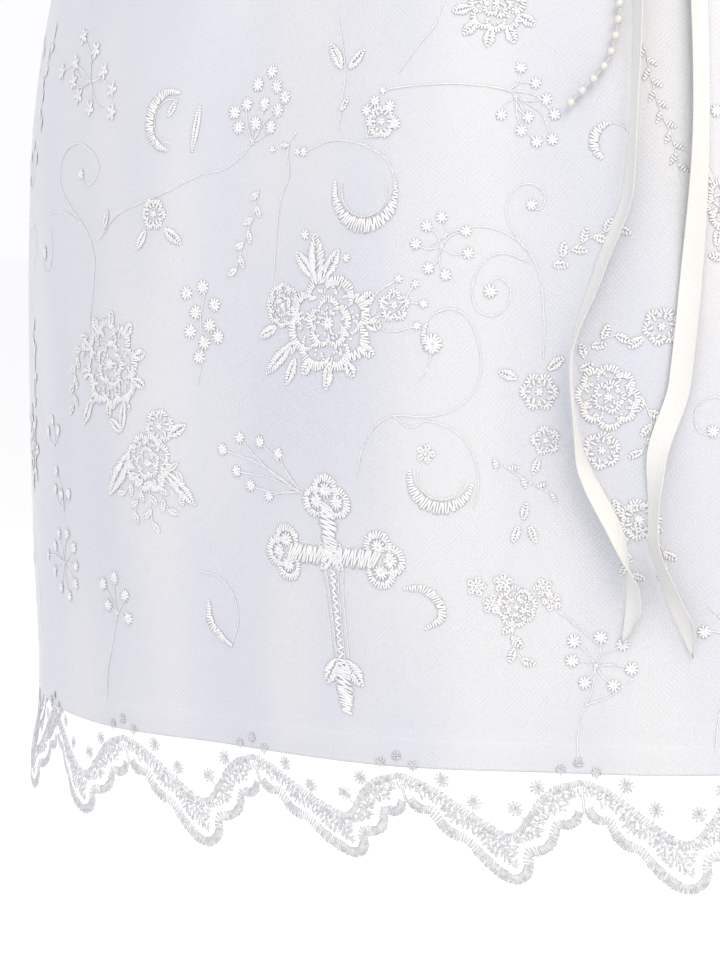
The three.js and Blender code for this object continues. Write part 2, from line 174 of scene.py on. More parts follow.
def lengths(points: Array) -> Array:
    """Measures how far along a line each of its points is."""
    return np.concatenate([[0], np.cumsum(np.linalg.norm(np.diff(points, axis=0), axis=1))])


def circle(count: int) -> Array:
    """Divides a full turn evenly, in radians."""
    return np.linspace(0, 2 * math.pi, count, endpoint=False)


def closed(rings: Array) -> Array:
    """Repeats the first column of rings of points at their end."""
    return np.concatenate([rings, rings[:, :1]], axis=1)


@dataclass(frozen=True)
class Skirt:
    """The form of the skirt, on which satin, net, stitches, ribbons and pearls lie.

    Attributes:
        gather: how far the gathers at the waist stand out, in mm.
        gathered: the height where the gathers begin, and where they are deepest.
        waist: half the waist's width and depth.
        flute: how far the loose lace flutes out.
        free: the height below the hem where the lace hangs quite free.
        swing_rows: for the middle of each scallop of one repeat, how many degrees the loose lace leans
            and how much longer or shorter it hangs.
    """

    gather: float = 2.0
    gathered: tuple[float, float] = (430.0, 600.0)
    waist: tuple[float, float] = (86.0, 70.0)
    flute: float = 7.0
    free: float = -45.0
    swing_rows: tuple = ((-71.1, 1.8, 0.96), (-56.1, 2.0, 0.9), (-41.1, 2.1, 1.02), (-26.1, 3.0, 0.86),
                         (-11.1, 1.5, 1.04), (3.9, 0.2, 1.1))

    def radius(self, height: Array | float) -> Array:
        """Reads the bell's radius at a height above the satin hem."""
        return between(BELL_ROWS, height)

    def folds(self, angle: Array, height: Array) -> Array:
        """Reads how far the broad folds stand out at a place."""
        held = smooth(SKIRT_LENGTH, SKIRT_LENGTH - 170, height)
        down = 1 - height / SKIRT_LENGTH
        rise = 0.0
        for at, wide, high, lean in FOLD_ROWS:
            away = (angle - at - lean * down + 180) % 360 - 180
            rise = rise + high * np.exp(-((away / wide) ** 2))
        return held * rise

    def gathers(self, angle: Array, height: Array) -> Array:
        """Reads how far the waist's small gathers stand out at a place."""
        turn = np.radians(angle)
        wave = np.cos(52 * turn) + 0.6 * np.cos(83 * turn + 1.1) + 0.4 * np.cos(31 * turn + 0.4)
        return self.gather * smooth(*self.gathered, height) * wave * 0.5

    def flutes(self, angle: Array, height: Array) -> Array:
        """Reads how far the loose lace flutes out below the satin hem."""
        turn = np.radians((angle - SCALLOP_TURN) * SCALLOPS)
        return self.flute * smooth(0, self.free, height) * 0.5 * (1 - np.cos(turn))

    def point(self, angle: Array, height: Array, extra: Array | float = 0.0) -> Array:
        """Finds places on the skirt.

        Args:
            angle: degrees from the centre front, towards +X.
            height: mm above the satin hem.
            extra: how far the cloth stands out there, in mm.

        Returns:
            The places, in mm, as rows of x, y and z.
        """
        bell = self.radius(height) + self.folds(angle, height) + self.gathers(angle, height) + extra
        narrow = 1 - smooth(SKIRT_LENGTH, SKIRT_LENGTH - 120, height)
        turn = np.radians(angle)
        wide, deep = (bell + (half - BELL_ROWS[-1][1]) * narrow for half in self.waist)
        return np.stack([wide * np.sin(turn), -deep * np.cos(turn), HEM_Z + height + 0 * turn], axis=-1)

    def hung(self, angle: Array, height: Array) -> tuple[Array, Array]:
        """Moves places on the loose lace to where its weight and swing carry them."""
        rows = np.array(self.swing_rows)
        loose = smooth(0, self.free, height)
        lean = np.interp(angle, rows[:, 0], rows[:, 1], period=REPEAT_TURN)
        drop = np.interp(angle, rows[:, 0], rows[:, 2], period=REPEAT_TURN)
        longer = 1 + (drop - 1) * smooth(0, -20, height)
        return angle + lean * loose, np.where(height < 0, height * longer, height)

    def lie(self, angle: Array, height: Array, lift: Array | float, loose: bool = True) -> tuple[Array, ...]:
        """Finds places on the skirt, lifted off it, with the cloth's own directions there.

        Args:
            angle: degrees from the centre front.
            height: mm above the satin hem.
            lift: mm off the satin, along the cloth's normal.
            loose: whether the net's flutes and swing below the hem are followed.

        Returns:
            The places, and the unit vectors round, up and out of the cloth.
        """
        angle, height = np.broadcast_arrays(np.asarray(angle, float), np.asarray(height, float))
        d = 0.05

        def surface(a: Array, h: Array) -> Array:
            if not loose:
                return self.point(a, h)
            moved_a, moved_h = self.hung(a, h)
            return self.point(moved_a, moved_h, self.flutes(a, h))

        east = unit(surface(angle + d, height) - surface(angle - d, height))
        north = surface(angle, height + d) - surface(angle, height - d)
        out = unit(np.cross(east, north))
        place = surface(angle, height) + out * np.broadcast_to(lift, angle.shape)[..., None]
        return place, east, unit(np.cross(out, east)), out

    def net_top(self, height: Array) -> Array:
        """Reads how far the net's face lies off the skirt's form. It steps out over the turned hem."""
        return NET_TOP - HEM_TURNED * smooth(HEM_WIDE + 1.5, HEM_WIDE + 8, height)

    def arc_rows(self) -> tuple[Array, Array]:
        """Measures the cloth's length up the skirt from the hem, as heights and lengths."""
        height = np.linspace(-60, SKIRT_LENGTH, 681)
        length = np.cumsum(np.hypot(np.gradient(height), np.gradient(self.radius(height))))
        return height, length - np.interp(0, height, length)

    def flat(self, turned: Array, height: Array, below: float = 0.0) -> Array:
        """Finds where places on the skirt lie on its flat cloth.

        Args:
            turned: degrees from the panel's middle.
            height: mm above the satin hem.
            below: how far the cloth goes on below the satin hem, in metres.

        Returns:
            Across and up the cloth, in metres.
        """
        up = np.interp(height, *self.arc_rows()) * MM + below
        return np.stack([np.radians(turned) * ROUND * MM + UV_MIDDLE, up], axis=-1)


SKIRT = Skirt()


def linear(colour: str) -> tuple[float, float, float, float]:
    """Turns an sRGB hex colour into the linear values that a shader takes."""
    parts = [int(colour[i:i + 2], 16) / 255 for i in (1, 3, 5)]
    return (*[c / 12.92 if c <= 0.04045 else ((c + 0.055) / 1.055) ** 2.4 for c in parts], 1.0)


def add_node(tree: bpy.types.NodeTree, kind: str, inputs: dict | None = None,
             **settings: Any) -> bpy.types.Node:
    """Adds a node to a tree.

    Args:
        tree: the tree that it joins.
        kind: Blender's name for the node.
        inputs: for each input, by name or number, a value or the output that feeds it.
        settings: the node's other settings.

    Returns:
        The node.
    """
    node = tree.nodes.new(kind)
    for key, value in settings.items():
        setattr(node, key, value)
    for key, value in (inputs or {}).items():
        if isinstance(value, bpy.types.NodeSocket):
            tree.links.new(value, node.inputs[key])
        else:
            node.inputs[key].default_value = value
    return node


def new_material(name: str) -> tuple[bpy.types.Material, bpy.types.NodeTree, bpy.types.Node]:
    """Starts a material with an empty Principled shader.

    Args:
        name: the finish's name.

    Returns:
        The material, its tree and its shader node.
    """
    material = bpy.data.materials.new(name)
    material.use_nodes = True
    tree = material.node_tree
    tree.nodes.clear()
    shader = add_node(tree, "ShaderNodeBsdfPrincipled")
    add_node(tree, "ShaderNodeOutputMaterial", {"Surface": shader.outputs[0]})
    return material, tree, shader


@dataclass(frozen=True)
class WovenSatin:
    """Polyester satin: long floats of bright filament, so the cloth has a soft broad gloss and faint streaks,
    with the shade of broad folds painted in leaning patches of a deeper, bluer tone.

    Attributes:
        colour: the cloth's colour.
        shade: the deeper, bluer tone of the painted fold shade in the patches.
        gloss: the roughness of the filaments.
        float_mm: the spacing of the floats, drawn three times as coarse as woven so that it shows.
        float_long: how many times longer than wide a float is.
        slant: how far the floats lean, in degrees.
        relief: the strength of the weave in the bump.
        sheen: how far loose fibres whiten it at a slant.
        painted_shade_patches: how many patches of painted shade there are to a metre.
        painted_shade_lean: how far the patches of painted shade lean, in degrees.
        painted_shade_long: how wide a patch of painted shade is for its length.
    """

    name: str
    colour: str = "#d5d6d8"
    shade: str = "#cbced6"
    gloss: float = 0.4
    float_mm: float = 0.75
    float_long: float = 9.0
    slant: float = 0.0
    relief: float = 0.05
    sheen: float = 0.25
    painted_shade_patches: float = 16.0
    painted_shade_lean: float = -14.0
    painted_shade_long: float = 0.3

    def build(self) -> bpy.types.Material:
        """Makes the material."""
        material, tree, shader = new_material(self.name)
        coordinates = add_node(tree, "ShaderNodeTexCoord")
        place = coordinates.outputs["UV"]
        leaning = add_node(tree, "ShaderNodeMapping", {
            "Vector": place, "Rotation": (0, 0, math.radians(self.slant)),
        })
        stretch = add_node(tree, "ShaderNodeMapping", {
            "Vector": leaning.outputs[0], "Scale": (1.0, 1 / self.float_long, 1.0),
        })
        weave = add_node(tree, "ShaderNodeTexNoise", {
            "Vector": stretch.outputs[0], "Scale": 1 / (self.float_mm * MM), "Detail": 2.0, "Roughness": 0.6,
        })
        # Painted shade: long, leaning patches where the colour goes to the deeper, bluer shade tone, standing
        # in for the shading of broad folds.
        hanging = add_node(tree, "ShaderNodeMapping", {
            "Vector": place, "Rotation": (0, 0, math.radians(self.painted_shade_lean)),
            "Scale": (1.0, self.painted_shade_long, 1.0),
        })
        painted_shade_patches = add_node(tree, "ShaderNodeTexNoise", {
            "Vector": hanging.outputs[0], "Scale": self.painted_shade_patches, "Detail": 1.0,
        })
        spread = add_node(tree, "ShaderNodeMapRange", {
            "Value": painted_shade_patches.outputs["Fac"], "From Min": 0.3, "From Max": 0.7, "To Min": 0.0, "To Max": 1.0,
        }, interpolation_type="SMOOTHSTEP")
        tone = add_node(tree, "ShaderNodeMix", {
            "Factor": spread.outputs[0], 6: linear(self.colour), 7: linear(self.shade),
        }, data_type="RGBA")
        bump = add_node(tree, "ShaderNodeBump", {
            "Height": weave.outputs["Fac"], "Strength": self.relief, "Distance": 0.6 * MM,
        })
        rough = add_node(tree, "ShaderNodeMapRange", {
            "Value": weave.outputs["Fac"], "To Min": self.gloss - 0.05, "To Max": self.gloss + 0.08,
        })
        tree.links.new(tone.outputs[2], shader.inputs["Base Color"])
        tree.links.new(bump.outputs[0], shader.inputs["Normal"])
        tree.links.new(rough.outputs[0], shader.inputs["Roughness"])
        shader.inputs["Sheen Weight"].default_value = self.sheen
        shader.inputs["Sheen Roughness"].default_value = 0.4
        shader.inputs["Specular IOR Level"].default_value = 0.5
        return material


@dataclass(frozen=True)
class BobbinetNet:
    """Nylon net: fine matt threads round open cells, so it is nearly clear and whitens what lies behind.

    Attributes:
        colour: the thread's colour.
        cell_mm: the width of a cell, drawn about twice as coarse as made so that it shows.
        thread_mm: the width of a thread.
        cover: how much of what lies behind a thread hides, as it is finer than drawn.
    """

    name: str = "bobbinet_net"
    colour: str = "#f2f3f8"
    cell_mm: float = 1.7
    thread_mm: float = 0.16
    cover: float = 0.16

    def build(self) -> bpy.types.Material:
        """Makes the material."""
        material, tree, shader = new_material(self.name)
        coordinates = add_node(tree, "ShaderNodeTexCoord")
        turned = add_node(tree, "ShaderNodeMapping", {
            "Vector": coordinates.outputs["UV"], "Rotation": (0, 0, math.radians(45)),
        })
        cells = add_node(tree, "ShaderNodeTexVoronoi", {
            "Vector": turned.outputs[0], "Scale": 1 / (self.cell_mm * MM), "Randomness": 0.3,
        }, feature="DISTANCE_TO_EDGE", voronoi_dimensions="2D")
        half = self.thread_mm / self.cell_mm / 2
        thread = add_node(tree, "ShaderNodeMapRange", {
            "Value": cells.outputs["Distance"], "From Min": half * 0.7, "From Max": half * 1.5,
            "To Min": self.cover, "To Max": 0.02,
        })
        tree.links.new(thread.outputs[0], shader.inputs["Alpha"])
        shader.inputs["Base Color"].default_value = linear(self.colour)
        shader.inputs["Roughness"].default_value = 0.6
        return material


@dataclass(frozen=True)
class RayonThread:
    """Twisted rayon machine thread: bright, smooth stitches that catch a small highlight each.

    Attributes:
        colour: the thread's colour.
        shade: the slightly deeper tone that it drifts to.
        patch_mm: the size of the patches over which the tone drifts.
        glow: how much of the light goes into the thread and comes out softened.
        glow_mm: how far that light travels.
    """

    name: str = "rayon_thread"
    colour: str = "#fcfcfd"
    shade: str = "#f4f4f7"
    gloss: float = 0.42
    patch_mm: float = 2.0
    glow: float = 0.3
    glow_mm: float = 0.35

    def build(self) -> bpy.types.Material:
        """Makes the material."""
        material, tree, shader = new_material(self.name)
        coordinates = add_node(tree, "ShaderNodeTexCoord")
        patch = add_node(tree, "ShaderNodeTexNoise", {
            "Vector": coordinates.outputs["Object"], "Scale": 1 / (self.patch_mm * MM), "Detail": 1.0,
        })
        spread = add_node(tree, "ShaderNodeMapRange", {
            "Value": patch.outputs["Fac"], "From Min": 0.35, "From Max": 0.65,
        })
        tone = add_node(tree, "ShaderNodeMix", {
            "Factor": spread.outputs[0], 6: linear(self.shade), 7: linear(self.colour),
        }, data_type="RGBA")
        tree.links.new(tone.outputs[2], shader.inputs["Base Color"])
        shader.inputs["Roughness"].default_value = self.gloss
        shader.inputs["Subsurface Weight"].default_value = self.glow
        shader.inputs["Subsurface Scale"].default_value = self.glow_mm * MM
        shader.inputs["Subsurface Radius"].default_value = (1.0, 1.0, 1.0)
        return material


@dataclass(frozen=True)
class PearlLacquer:
    """Lacquered glass pearl: a soft body colour under a clear smooth coat, with painted rim shade: darker and
    warmer where it turns from the eye, in patches.

    Attributes:
        colour: the lacquer's colour.
        edge: the darker, warmer colour of the painted rim shade, where it turns away.
        painted_shade_patches: how many patches of painted rim shade there are to a metre.
    """

    name: str = "pearl_lacquer"
    colour: str = "#d8d6d2"
    edge: str = "#a5a29b"
    gloss: float = 0.2
    painted_shade_patches: float = 260.0

    def build(self) -> bpy.types.Material:
        """Makes the material."""
        material, tree, shader = new_material(self.name)
        # Painted rim shade: the colour goes to the darker edge tone where the ball turns from the eye, in
        # patches.
        turned = add_node(tree, "ShaderNodeLayerWeight", {"Blend": 0.35})
        coordinates = add_node(tree, "ShaderNodeTexCoord")
        painted_shade_patches = add_node(tree, "ShaderNodeTexNoise", {
            "Vector": coordinates.outputs["Object"], "Scale": self.painted_shade_patches,
        })
        mixed = add_node(tree, "ShaderNodeMath", {
            0: turned.outputs["Facing"], 1: painted_shade_patches.outputs["Fac"],
        }, operation="MULTIPLY")
        tone = add_node(tree, "ShaderNodeMix", {
            "Factor": mixed.outputs[0], 6: linear(self.colour), 7: linear(self.edge),
        }, data_type="RGBA")
        tree.links.new(tone.outputs[2], shader.inputs["Base Color"])
        shader.inputs["Roughness"].default_value = self.gloss
        shader.inputs["Coat Weight"].default_value = 0.7
        shader.inputs["Coat Roughness"].default_value = 0.08
        return material


class Finish(Enum):
    """The gown's finishes."""

    SATIN = WovenSatin("polyester_satin")
    # The ribbon has the satin's painted shade too: its deeper tone lies in leaning patches.
    RIBBON = WovenSatin("satin_ribbon", colour="#e1e1de", shade="#d3d3d2", gloss=0.36, float_mm=0.8,
                        float_long=6.0, slant=35.0, relief=0.55, sheen=0.1)
    NET = BobbinetNet()
    THREAD = RayonThread()
    # The border's thread is the white rayon thread painted greyer, as the lace looks in shade against the
    # bright ground: a shaded copy of that thread.
    BORDER = RayonThread("border_thread_painted_shade", colour="#dededf", shade="#c8c9ce", gloss=0.5)
    PEARL = PearlLacquer()

    def material(self) -> bpy.types.Material:
        """Gives the finish's material, made once."""
        return bpy.data.materials.get(self.value.name) or self.value.build()


def link(name: str, mesh: bpy.types.Mesh, finish: Finish | None = None) -> bpy.types.Object:
    """Puts a mesh in the scene.

    Args:
        name: the piece's name.
        mesh: its mesh, in metres and in place.
        finish: its finish, where the mesh brings none.

    Returns:
        The object.
    """
    piece = bpy.data.objects.new(name, mesh)
    bpy.context.scene.collection.objects.link(piece)
    if finish:
        mesh.materials.clear()
        mesh.materials.append(finish.material())
    return piece


def grid_mesh(name: str, points: Array, uv: Array | None = None, ring: bool = False,
              flip: bool = False) -> bpy.types.Mesh:
    """Makes a sheet of quads from a grid of points.

    Args:
        name: the mesh's name.
        points: rows of columns of places, in mm.
        uv: the place of each point on the flat cloth, in metres.
        ring: whether the last column joins the first.
        flip: whether the faces are turned over.

    Returns:
        The mesh, in metres.
    """
    rows, columns = points.shape[:2]
    i, j = np.meshgrid(np.arange(rows - 1), np.arange(columns if ring else columns - 1), indexing="ij")
    after = (j + 1) % columns
    corners = [i * columns + j, i * columns + after, (i + 1) * columns + after, (i + 1) * columns + j]
    faces = np.stack(corners[::-1] if flip else corners, axis=-1).reshape(-1, 4)
    mesh = bpy.data.meshes.new(name)
    mesh.from_pydata((points.reshape(-1, 3) * MM).tolist(), [], faces.tolist())
    if uv is not None:
        layer = mesh.uv_layers.new(name="flat_cloth")
        layer.data.foreach_set("uv", uv.reshape(-1, 2)[faces.ravel()].astype(np.float32).ravel())
    mesh.polygons.foreach_set("use_smooth", np.ones(len(faces), bool))
    mesh.update()
    return mesh


def flat_uv(points: Array) -> Array:
    """Measures a grid of points along its own rows and columns, as a flat cloth in metres."""
    across = np.linalg.norm(np.diff(points, axis=1), axis=-1)
    up = np.linalg.norm(np.diff(points, axis=0), axis=-1)
    u = np.concatenate([np.zeros((1,)), np.cumsum(across.mean(axis=0))])
    v = np.concatenate([np.zeros((1,)), np.cumsum(up.mean(axis=1))])
    return np.stack(np.broadcast_arrays(u[None, :], v[:, None]), axis=-1) * MM


def wear(piece: bpy.types.Object, slot: str, *nodes: str) -> bpy.types.Object:
    """Makes a piece ride on the gown and stand for its CAD nodes, which it hides."""
    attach(piece, "root")
    if nodes:
        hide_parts(*nodes)
    log.info("%s: %d faces", piece.name, len(piece.data.polygons))
    return piece


def cloth(name: str, points: Array, uv: Array, finish: Finish, thick: float, slot: str, node: str,
          offset: float = -1.0, **form: bool) -> bpy.types.Object:
    """Makes a piece of cloth that the gown wears for a CAD node.

    Args:
        name: the piece's name.
        points: rows of columns of places, in mm.
        uv: the place of each point on the flat cloth, in metres.
        finish: what it is made of.
        thick: its thickness in mm.
        slot: the record's material slot; not used.
        node: the CAD node that it stands for.
        offset: -1 where it is thick inwards from its outer face, or 0 for both ways.
        form: whether it is a ring, and whether its faces are turned over.

    Returns:
        The piece.
    """
    piece = link(name, grid_mesh(name, points, uv, **form), finish)
    solid = piece.modifiers.new("thickness", "SOLIDIFY")
    solid.thickness = thick * MM
    solid.offset = offset
    solid.use_even_offset = False
    return wear(piece, slot, node)


class StitchTree:
    """The Geometry Nodes tree that sews one stitch at each point of a mesh.

    Each point carries the way that its stitch runs, the way out of the cloth, and its length, width and
    height in metres.
    """

    def __init__(self) -> None:
        """Builds the tree and the stitch that it repeats."""
        self.stitch = self._stitch()
        self.tree = bpy.data.node_groups.new("sewn_stitches", "GeometryNodeTree")
        face = self.tree.interface
        face.new_socket("Geometry", in_out="INPUT", socket_type="NodeSocketGeometry")
        self.ids = {
            name: face.new_socket(name, in_out="INPUT", socket_type=kind).identifier
            for name, kind in (("Stitch", "NodeSocketObject"), ("Plumpness", "NodeSocketFloat"),
                               ("Thread", "NodeSocketMaterial"))
        }
        face.new_socket("Geometry", in_out="OUTPUT", socket_type="NodeSocketGeometry")
        self._wire()

    def _stitch(self) -> bpy.types.Object:
        """Makes the unit stitch: a bar with a ridge and sloped ends."""
        base = [(-0.5, -0.5, 0), (0.5, -0.5, 0), (0.5, 0.5, 0), (-0.5, 0.5, 0)]
        ridge = [(-0.3, 0, 1), (0.3, 0, 1)]
        faces = [(3, 2, 1, 0), (0, 1, 5, 4), (2, 3, 4, 5), (1, 2, 5), (3, 0, 4)]
        mesh = bpy.data.meshes.new("unit_stitch")
        mesh.from_pydata(base + ridge, [], faces)
        mesh.polygons.foreach_set("use_smooth", [False] + [True] * (len(faces) - 1))
        return link("unit_stitch", mesh)

    def _wire(self) -> None:
        """Adds the tree's nodes."""
        tree = self.tree
        given = add_node(tree, "NodeGroupInput")
        read = {
            name: add_node(tree, "GeometryNodeInputNamedAttribute", {"Name": name}, data_type="FLOAT_VECTOR")
            for name in ("along", "outward", "size")
        }
        run = add_node(tree, "FunctionNodeAlignRotationToVector", {
            "Vector": read["along"].outputs[0],
        }, axis="X")
        stand = add_node(tree, "FunctionNodeAlignRotationToVector", {
            "Rotation": run.outputs[0], "Vector": read["outward"].outputs[0],
        }, axis="Z", pivot_axis="X")
        plump = add_node(tree, "ShaderNodeCombineXYZ", {"X": 1.0, "Y": 1.0, "Z": given.outputs["Plumpness"]})
        size = add_node(tree, "ShaderNodeVectorMath", {
            0: read["size"].outputs[0], 1: plump.outputs[0],
        }, operation="MULTIPLY")
        shape = add_node(tree, "GeometryNodeObjectInfo", {"Object": given.outputs["Stitch"]})
        sewn = add_node(tree, "GeometryNodeInstanceOnPoints", {
            "Points": given.outputs["Geometry"], "Instance": shape.outputs["Geometry"],
            "Rotation": stand.outputs[0], "Scale": size.outputs[0],
        })
        real = add_node(tree, "GeometryNodeRealizeInstances", {"Geometry": sewn.outputs[0]})
        dressed = add_node(tree, "GeometryNodeSetMaterial", {
            "Geometry": real.outputs[0], "Material": given.outputs["Thread"],
        })
        add_node(tree, "NodeGroupOutput", {"Geometry": dressed.outputs[0]})

    def sew(self, name: str, places: Array, along: Array, out: Array, size: Array,
            finish: Finish = Finish.THREAD, shape: bpy.types.Object | None = None,
            plump: float = 0.4) -> bpy.types.Object:
        """Sews stitches, or sets beads, at places.

        Args:
            name: the piece's name.
            places: where each stands, in mm.
            along: the way that each runs.
            out: the way out of the cloth.
            size: the length, width and height of each, in mm.
            finish: what it is made of.
            shape: what is repeated, or the unit stitch.
            plump: how many times its height each stands.

        Returns:
            The piece, as one plain mesh.
        """
        mesh = bpy.data.meshes.new(name + "_points")
        mesh.from_pydata((places * MM).tolist(), [], [])
        for key, values in (("along", along), ("outward", out), ("size", size * MM)):
            attribute = mesh.attributes.new(key, "FLOAT_VECTOR", "POINT")
            attribute.data.foreach_set("vector", np.ascontiguousarray(values, np.float32).ravel())
        points = link(name + "_points", mesh)
        modifier = points.modifiers.new("sewn", "NODES")
        modifier.node_group = self.tree
        modifier[self.ids["Stitch"]] = shape or self.stitch
        modifier[self.ids["Plumpness"]] = plump
        modifier[self.ids["Thread"]] = finish.material()
        graph = bpy.context.evaluated_depsgraph_get()
        made = bpy.data.meshes.new_from_object(points.evaluated_get(graph))
        made.name = name
        for key in ("along", "outward", "size"):
            if made.attributes.get(key):
                made.attributes.remove(made.attributes[key])
        points.modifiers.remove(modifier)
        bpy.data.objects.remove(points)
        return link(name, made)

    def put_away(self) -> None:
        """Removes the unit stitch once everything is sewn."""
        bpy.data.objects.remove(self.stitch)


def curve(points: Path, step: float) -> Array:
    """Draws a smooth line through points and marks it at even steps.

    Args:
        points: the places that it goes through, in mm.
        step: the distance between marks.

    Returns:
        The marks, as rows of across and up.
    """
    p = np.array(points, float)
    if len(p) > 2:
        ends = np.vstack([2 * p[0] - p[1], p, 2 * p[-1] - p[-2]])
        t = np.linspace(0, 1, 12, endpoint=False)[:, None]
        parts = []
        for a, b, c, d in zip(ends, ends[1:], ends[2:], ends[3:]):
            parts.append(0.5 * (2 * b + (c - a) * t + (2 * a - 5 * b + 4 * c - d) * t**2
                                + (3 * b - a - 3 * c + d) * t**3))
        p = np.vstack([*parts, p[-1:]])
    far = lengths(p)
    count = max(2, int(round(far[-1] / step)) + 1)
    at = np.linspace(0, far[-1], count)
    return np.column_stack([np.interp(at, far, p[:, 0]), np.interp(at, far, p[:, 1])])


def arc(centre: tuple[float, float], radius: float, start: float, end: float, inner: float = 1.0) -> Path:
    """Draws an arc, or a spiral where the radius shrinks on the way.

    Args:
        centre: its centre, in mm.
        radius: its radius at the start.
        start: the start's direction from the centre, in degrees anticlockwise from across.
        end: the end's direction, past a full turn if it goes round.
        inner: the share of the radius that is left at the end.

    Returns:
        Points along it.
    """
    count = max(4, int(abs(end - start) / 18) + 1)
    turn = np.radians(np.linspace(start, end, count))
    size = radius * np.linspace(1, inner, count)
    return list(zip(centre[0] + size * np.cos(turn), centre[1] + size * np.sin(turn)))


@dataclass
class Needle:
    """An embroidery needle: it draws motifs on flat cloth as rows of stitches.

    Attributes:
        pitch: the distance between neighbouring stitches of a filled shape, in mm.
        thread: the width of a stitch.
        stem_wide: the width of a stitch in a stem.
        rimmed: the radius from which a flower's petals are rims of short bars.
        veined: the width from which a petal has two rows that meet on a vein.
        seed: the start of the small differences between stitches.
        rows: across, up, turn in degrees, length, width and height of each stitch made so far.
    """

    pitch: float = 1.28
    thread: float = 1.2
    stem_wide: float = 0.46
    rimmed: float = 6.0
    veined: float = 3.2
    seed: int = 7
    rows: list[Array] = field(default_factory=list)

    def __post_init__(self) -> None:
        """Starts the needle's random draws."""
        self.draw = np.random.default_rng(self.seed)

    def put(self, places: Array, turn: Array | float, long: Array | float, high: float = 0.27,
            stray: float = 14.0, wide: float | None = None) -> None:
        """Makes stitches.

        Args:
            places: their middles.
            turn: the way that each runs, in degrees.
            long: the length of each.
            high: how far they stand off the cloth.
            stray: how many degrees they stray either way.
            wide: the width of each, if not the thread's.
        """
        count = len(places)
        turned = np.broadcast_to(turn, count) + self.draw.uniform(-stray, stray, count)
        length = np.broadcast_to(long, count) * self.draw.uniform(0.82, 1.12, count)
        width = (wide or self.thread) * self.draw.uniform(0.8, 1.2, count)
        height = high * self.draw.uniform(0.75, 1.2, count)
        self.rows.append(np.column_stack([places, turned, length, width, height]))

    def stem(self, points: Path, long: float = 2.5, high: float = 0.22) -> None:
        """Sews a thin stem of stitches laid end over end along a line."""
        marks = curve(points, long * 0.72)
        run = np.gradient(marks, axis=0)
        self.put(marks, bearing(run) + 9, long, high, 4, self.stem_wide)

    def satin(self, points: Path, wide: Sequence[float], slant: float = 14.0, high: float = 0.32) -> None:
        """Sews a band of stitches laid across a line.

        Args:
            points: the line.
            wide: the band's widths, evenly along the line.
            slant: how many degrees the stitches lean off square.
            high: how far they stand off the cloth.
        """
        marks = curve(points, self.pitch)
        run = np.gradient(marks, axis=0)
        width = np.interp(np.linspace(0, 1, len(marks)), np.linspace(0, 1, len(wide)), wide)
        self.put(marks, bearing(run) + 90 - slant, np.maximum(width, 1.0), high)

    def petal(self, at: tuple[float, float], toward: float, long: float, wide: float) -> None:
        """Sews a petal or leaf from its foot outwards.

        Args:
            at: its foot.
            toward: the way that it points, in degrees.
            long: its length.
            wide: its width at the middle.
        """
        way = heading(toward)
        side = np.array([-way[1], way[0]])
        count = max(3, int(round(long / self.pitch)))
        share = (np.arange(count) + 0.5) / count
        width = wide * np.sin(math.pi * share**0.8) ** 0.7
        middle = np.array(at) + way * (share * long)[:, None]
        if wide > self.veined:
            for hand in (-1, 1):
                places = middle + side * (hand * width / 4)[:, None]
                self.put(places, toward + hand * 48, np.maximum(width * 0.62, 1.1))
        else:
            self.put(middle, toward + 78, np.maximum(width, 1.0))

    def petals(self, *rows: tuple[float, ...]) -> None:
        """Sews petals or leaves, each given as across, up, the way that it points, length and width."""
        for across, up, toward, long, wide in rows:
            self.petal((across, up), toward, long, wide)

    def corolla(self, at: tuple[float, float], reach: tuple[float, float], ways: Sequence[float], long: float,
                wide: float) -> None:
        """Sews petals that stand round a middle.

        Args:
            at: the middle.
            reach: how far from it their feet are, across and up.
            ways: the way that each points.
            long: their length.
            wide: their width.
        """
        for way in ways:
            self.petal(at + heading(way) * reach, way, long, wide)

    def dot(self, at: tuple[float, float], radius: float, turn: float = 60.0) -> None:
        """Sews a small round knot: a ring of short stitches that fan out from its middle."""
        count = max(4, int(round(2 * math.pi * 0.68 * radius / self.pitch)))
        way = turn + 360 * np.arange(count) / count
        ring = np.column_stack([np.cos(np.radians(way)), np.sin(np.radians(way))])
        self.put(np.array(at) + ring * 0.58 * radius, way, max(1.15 * radius, 1.3), 0.34, 10)

    def flower(self, at: tuple[float, float], radius: float, petals: int, turn: float = 0.0,
               heart: float = 0.28) -> None:
        """Sews a flower of round petals about a small heart.

        Args:
            at: its middle.
            radius: its outer radius.
            petals: how many petals it has.
            turn: the direction of the first, in degrees.
            heart: the heart's share of the radius.
        """
        inner = radius * heart
        for k in range(petals):
            way = turn + 360 * k / petals
            if radius > self.rimmed:
                middle = at + radius * 0.55 * heading(way)
                wide = radius * 0.3
                self.satin(arc(middle, wide, way - 115, way + 115), (1.2, wide, wide, wide, 1.2), 8)
                self.put(middle[None], way, radius * 0.36, 0.25, 30)
                continue
            foot = at + inner * heading(way)
            self.petal(foot, way, radius - inner, min(1.5 * math.pi * radius / petals, radius * 0.72))
        self.dot(at, max(inner * 0.7, 1.0))

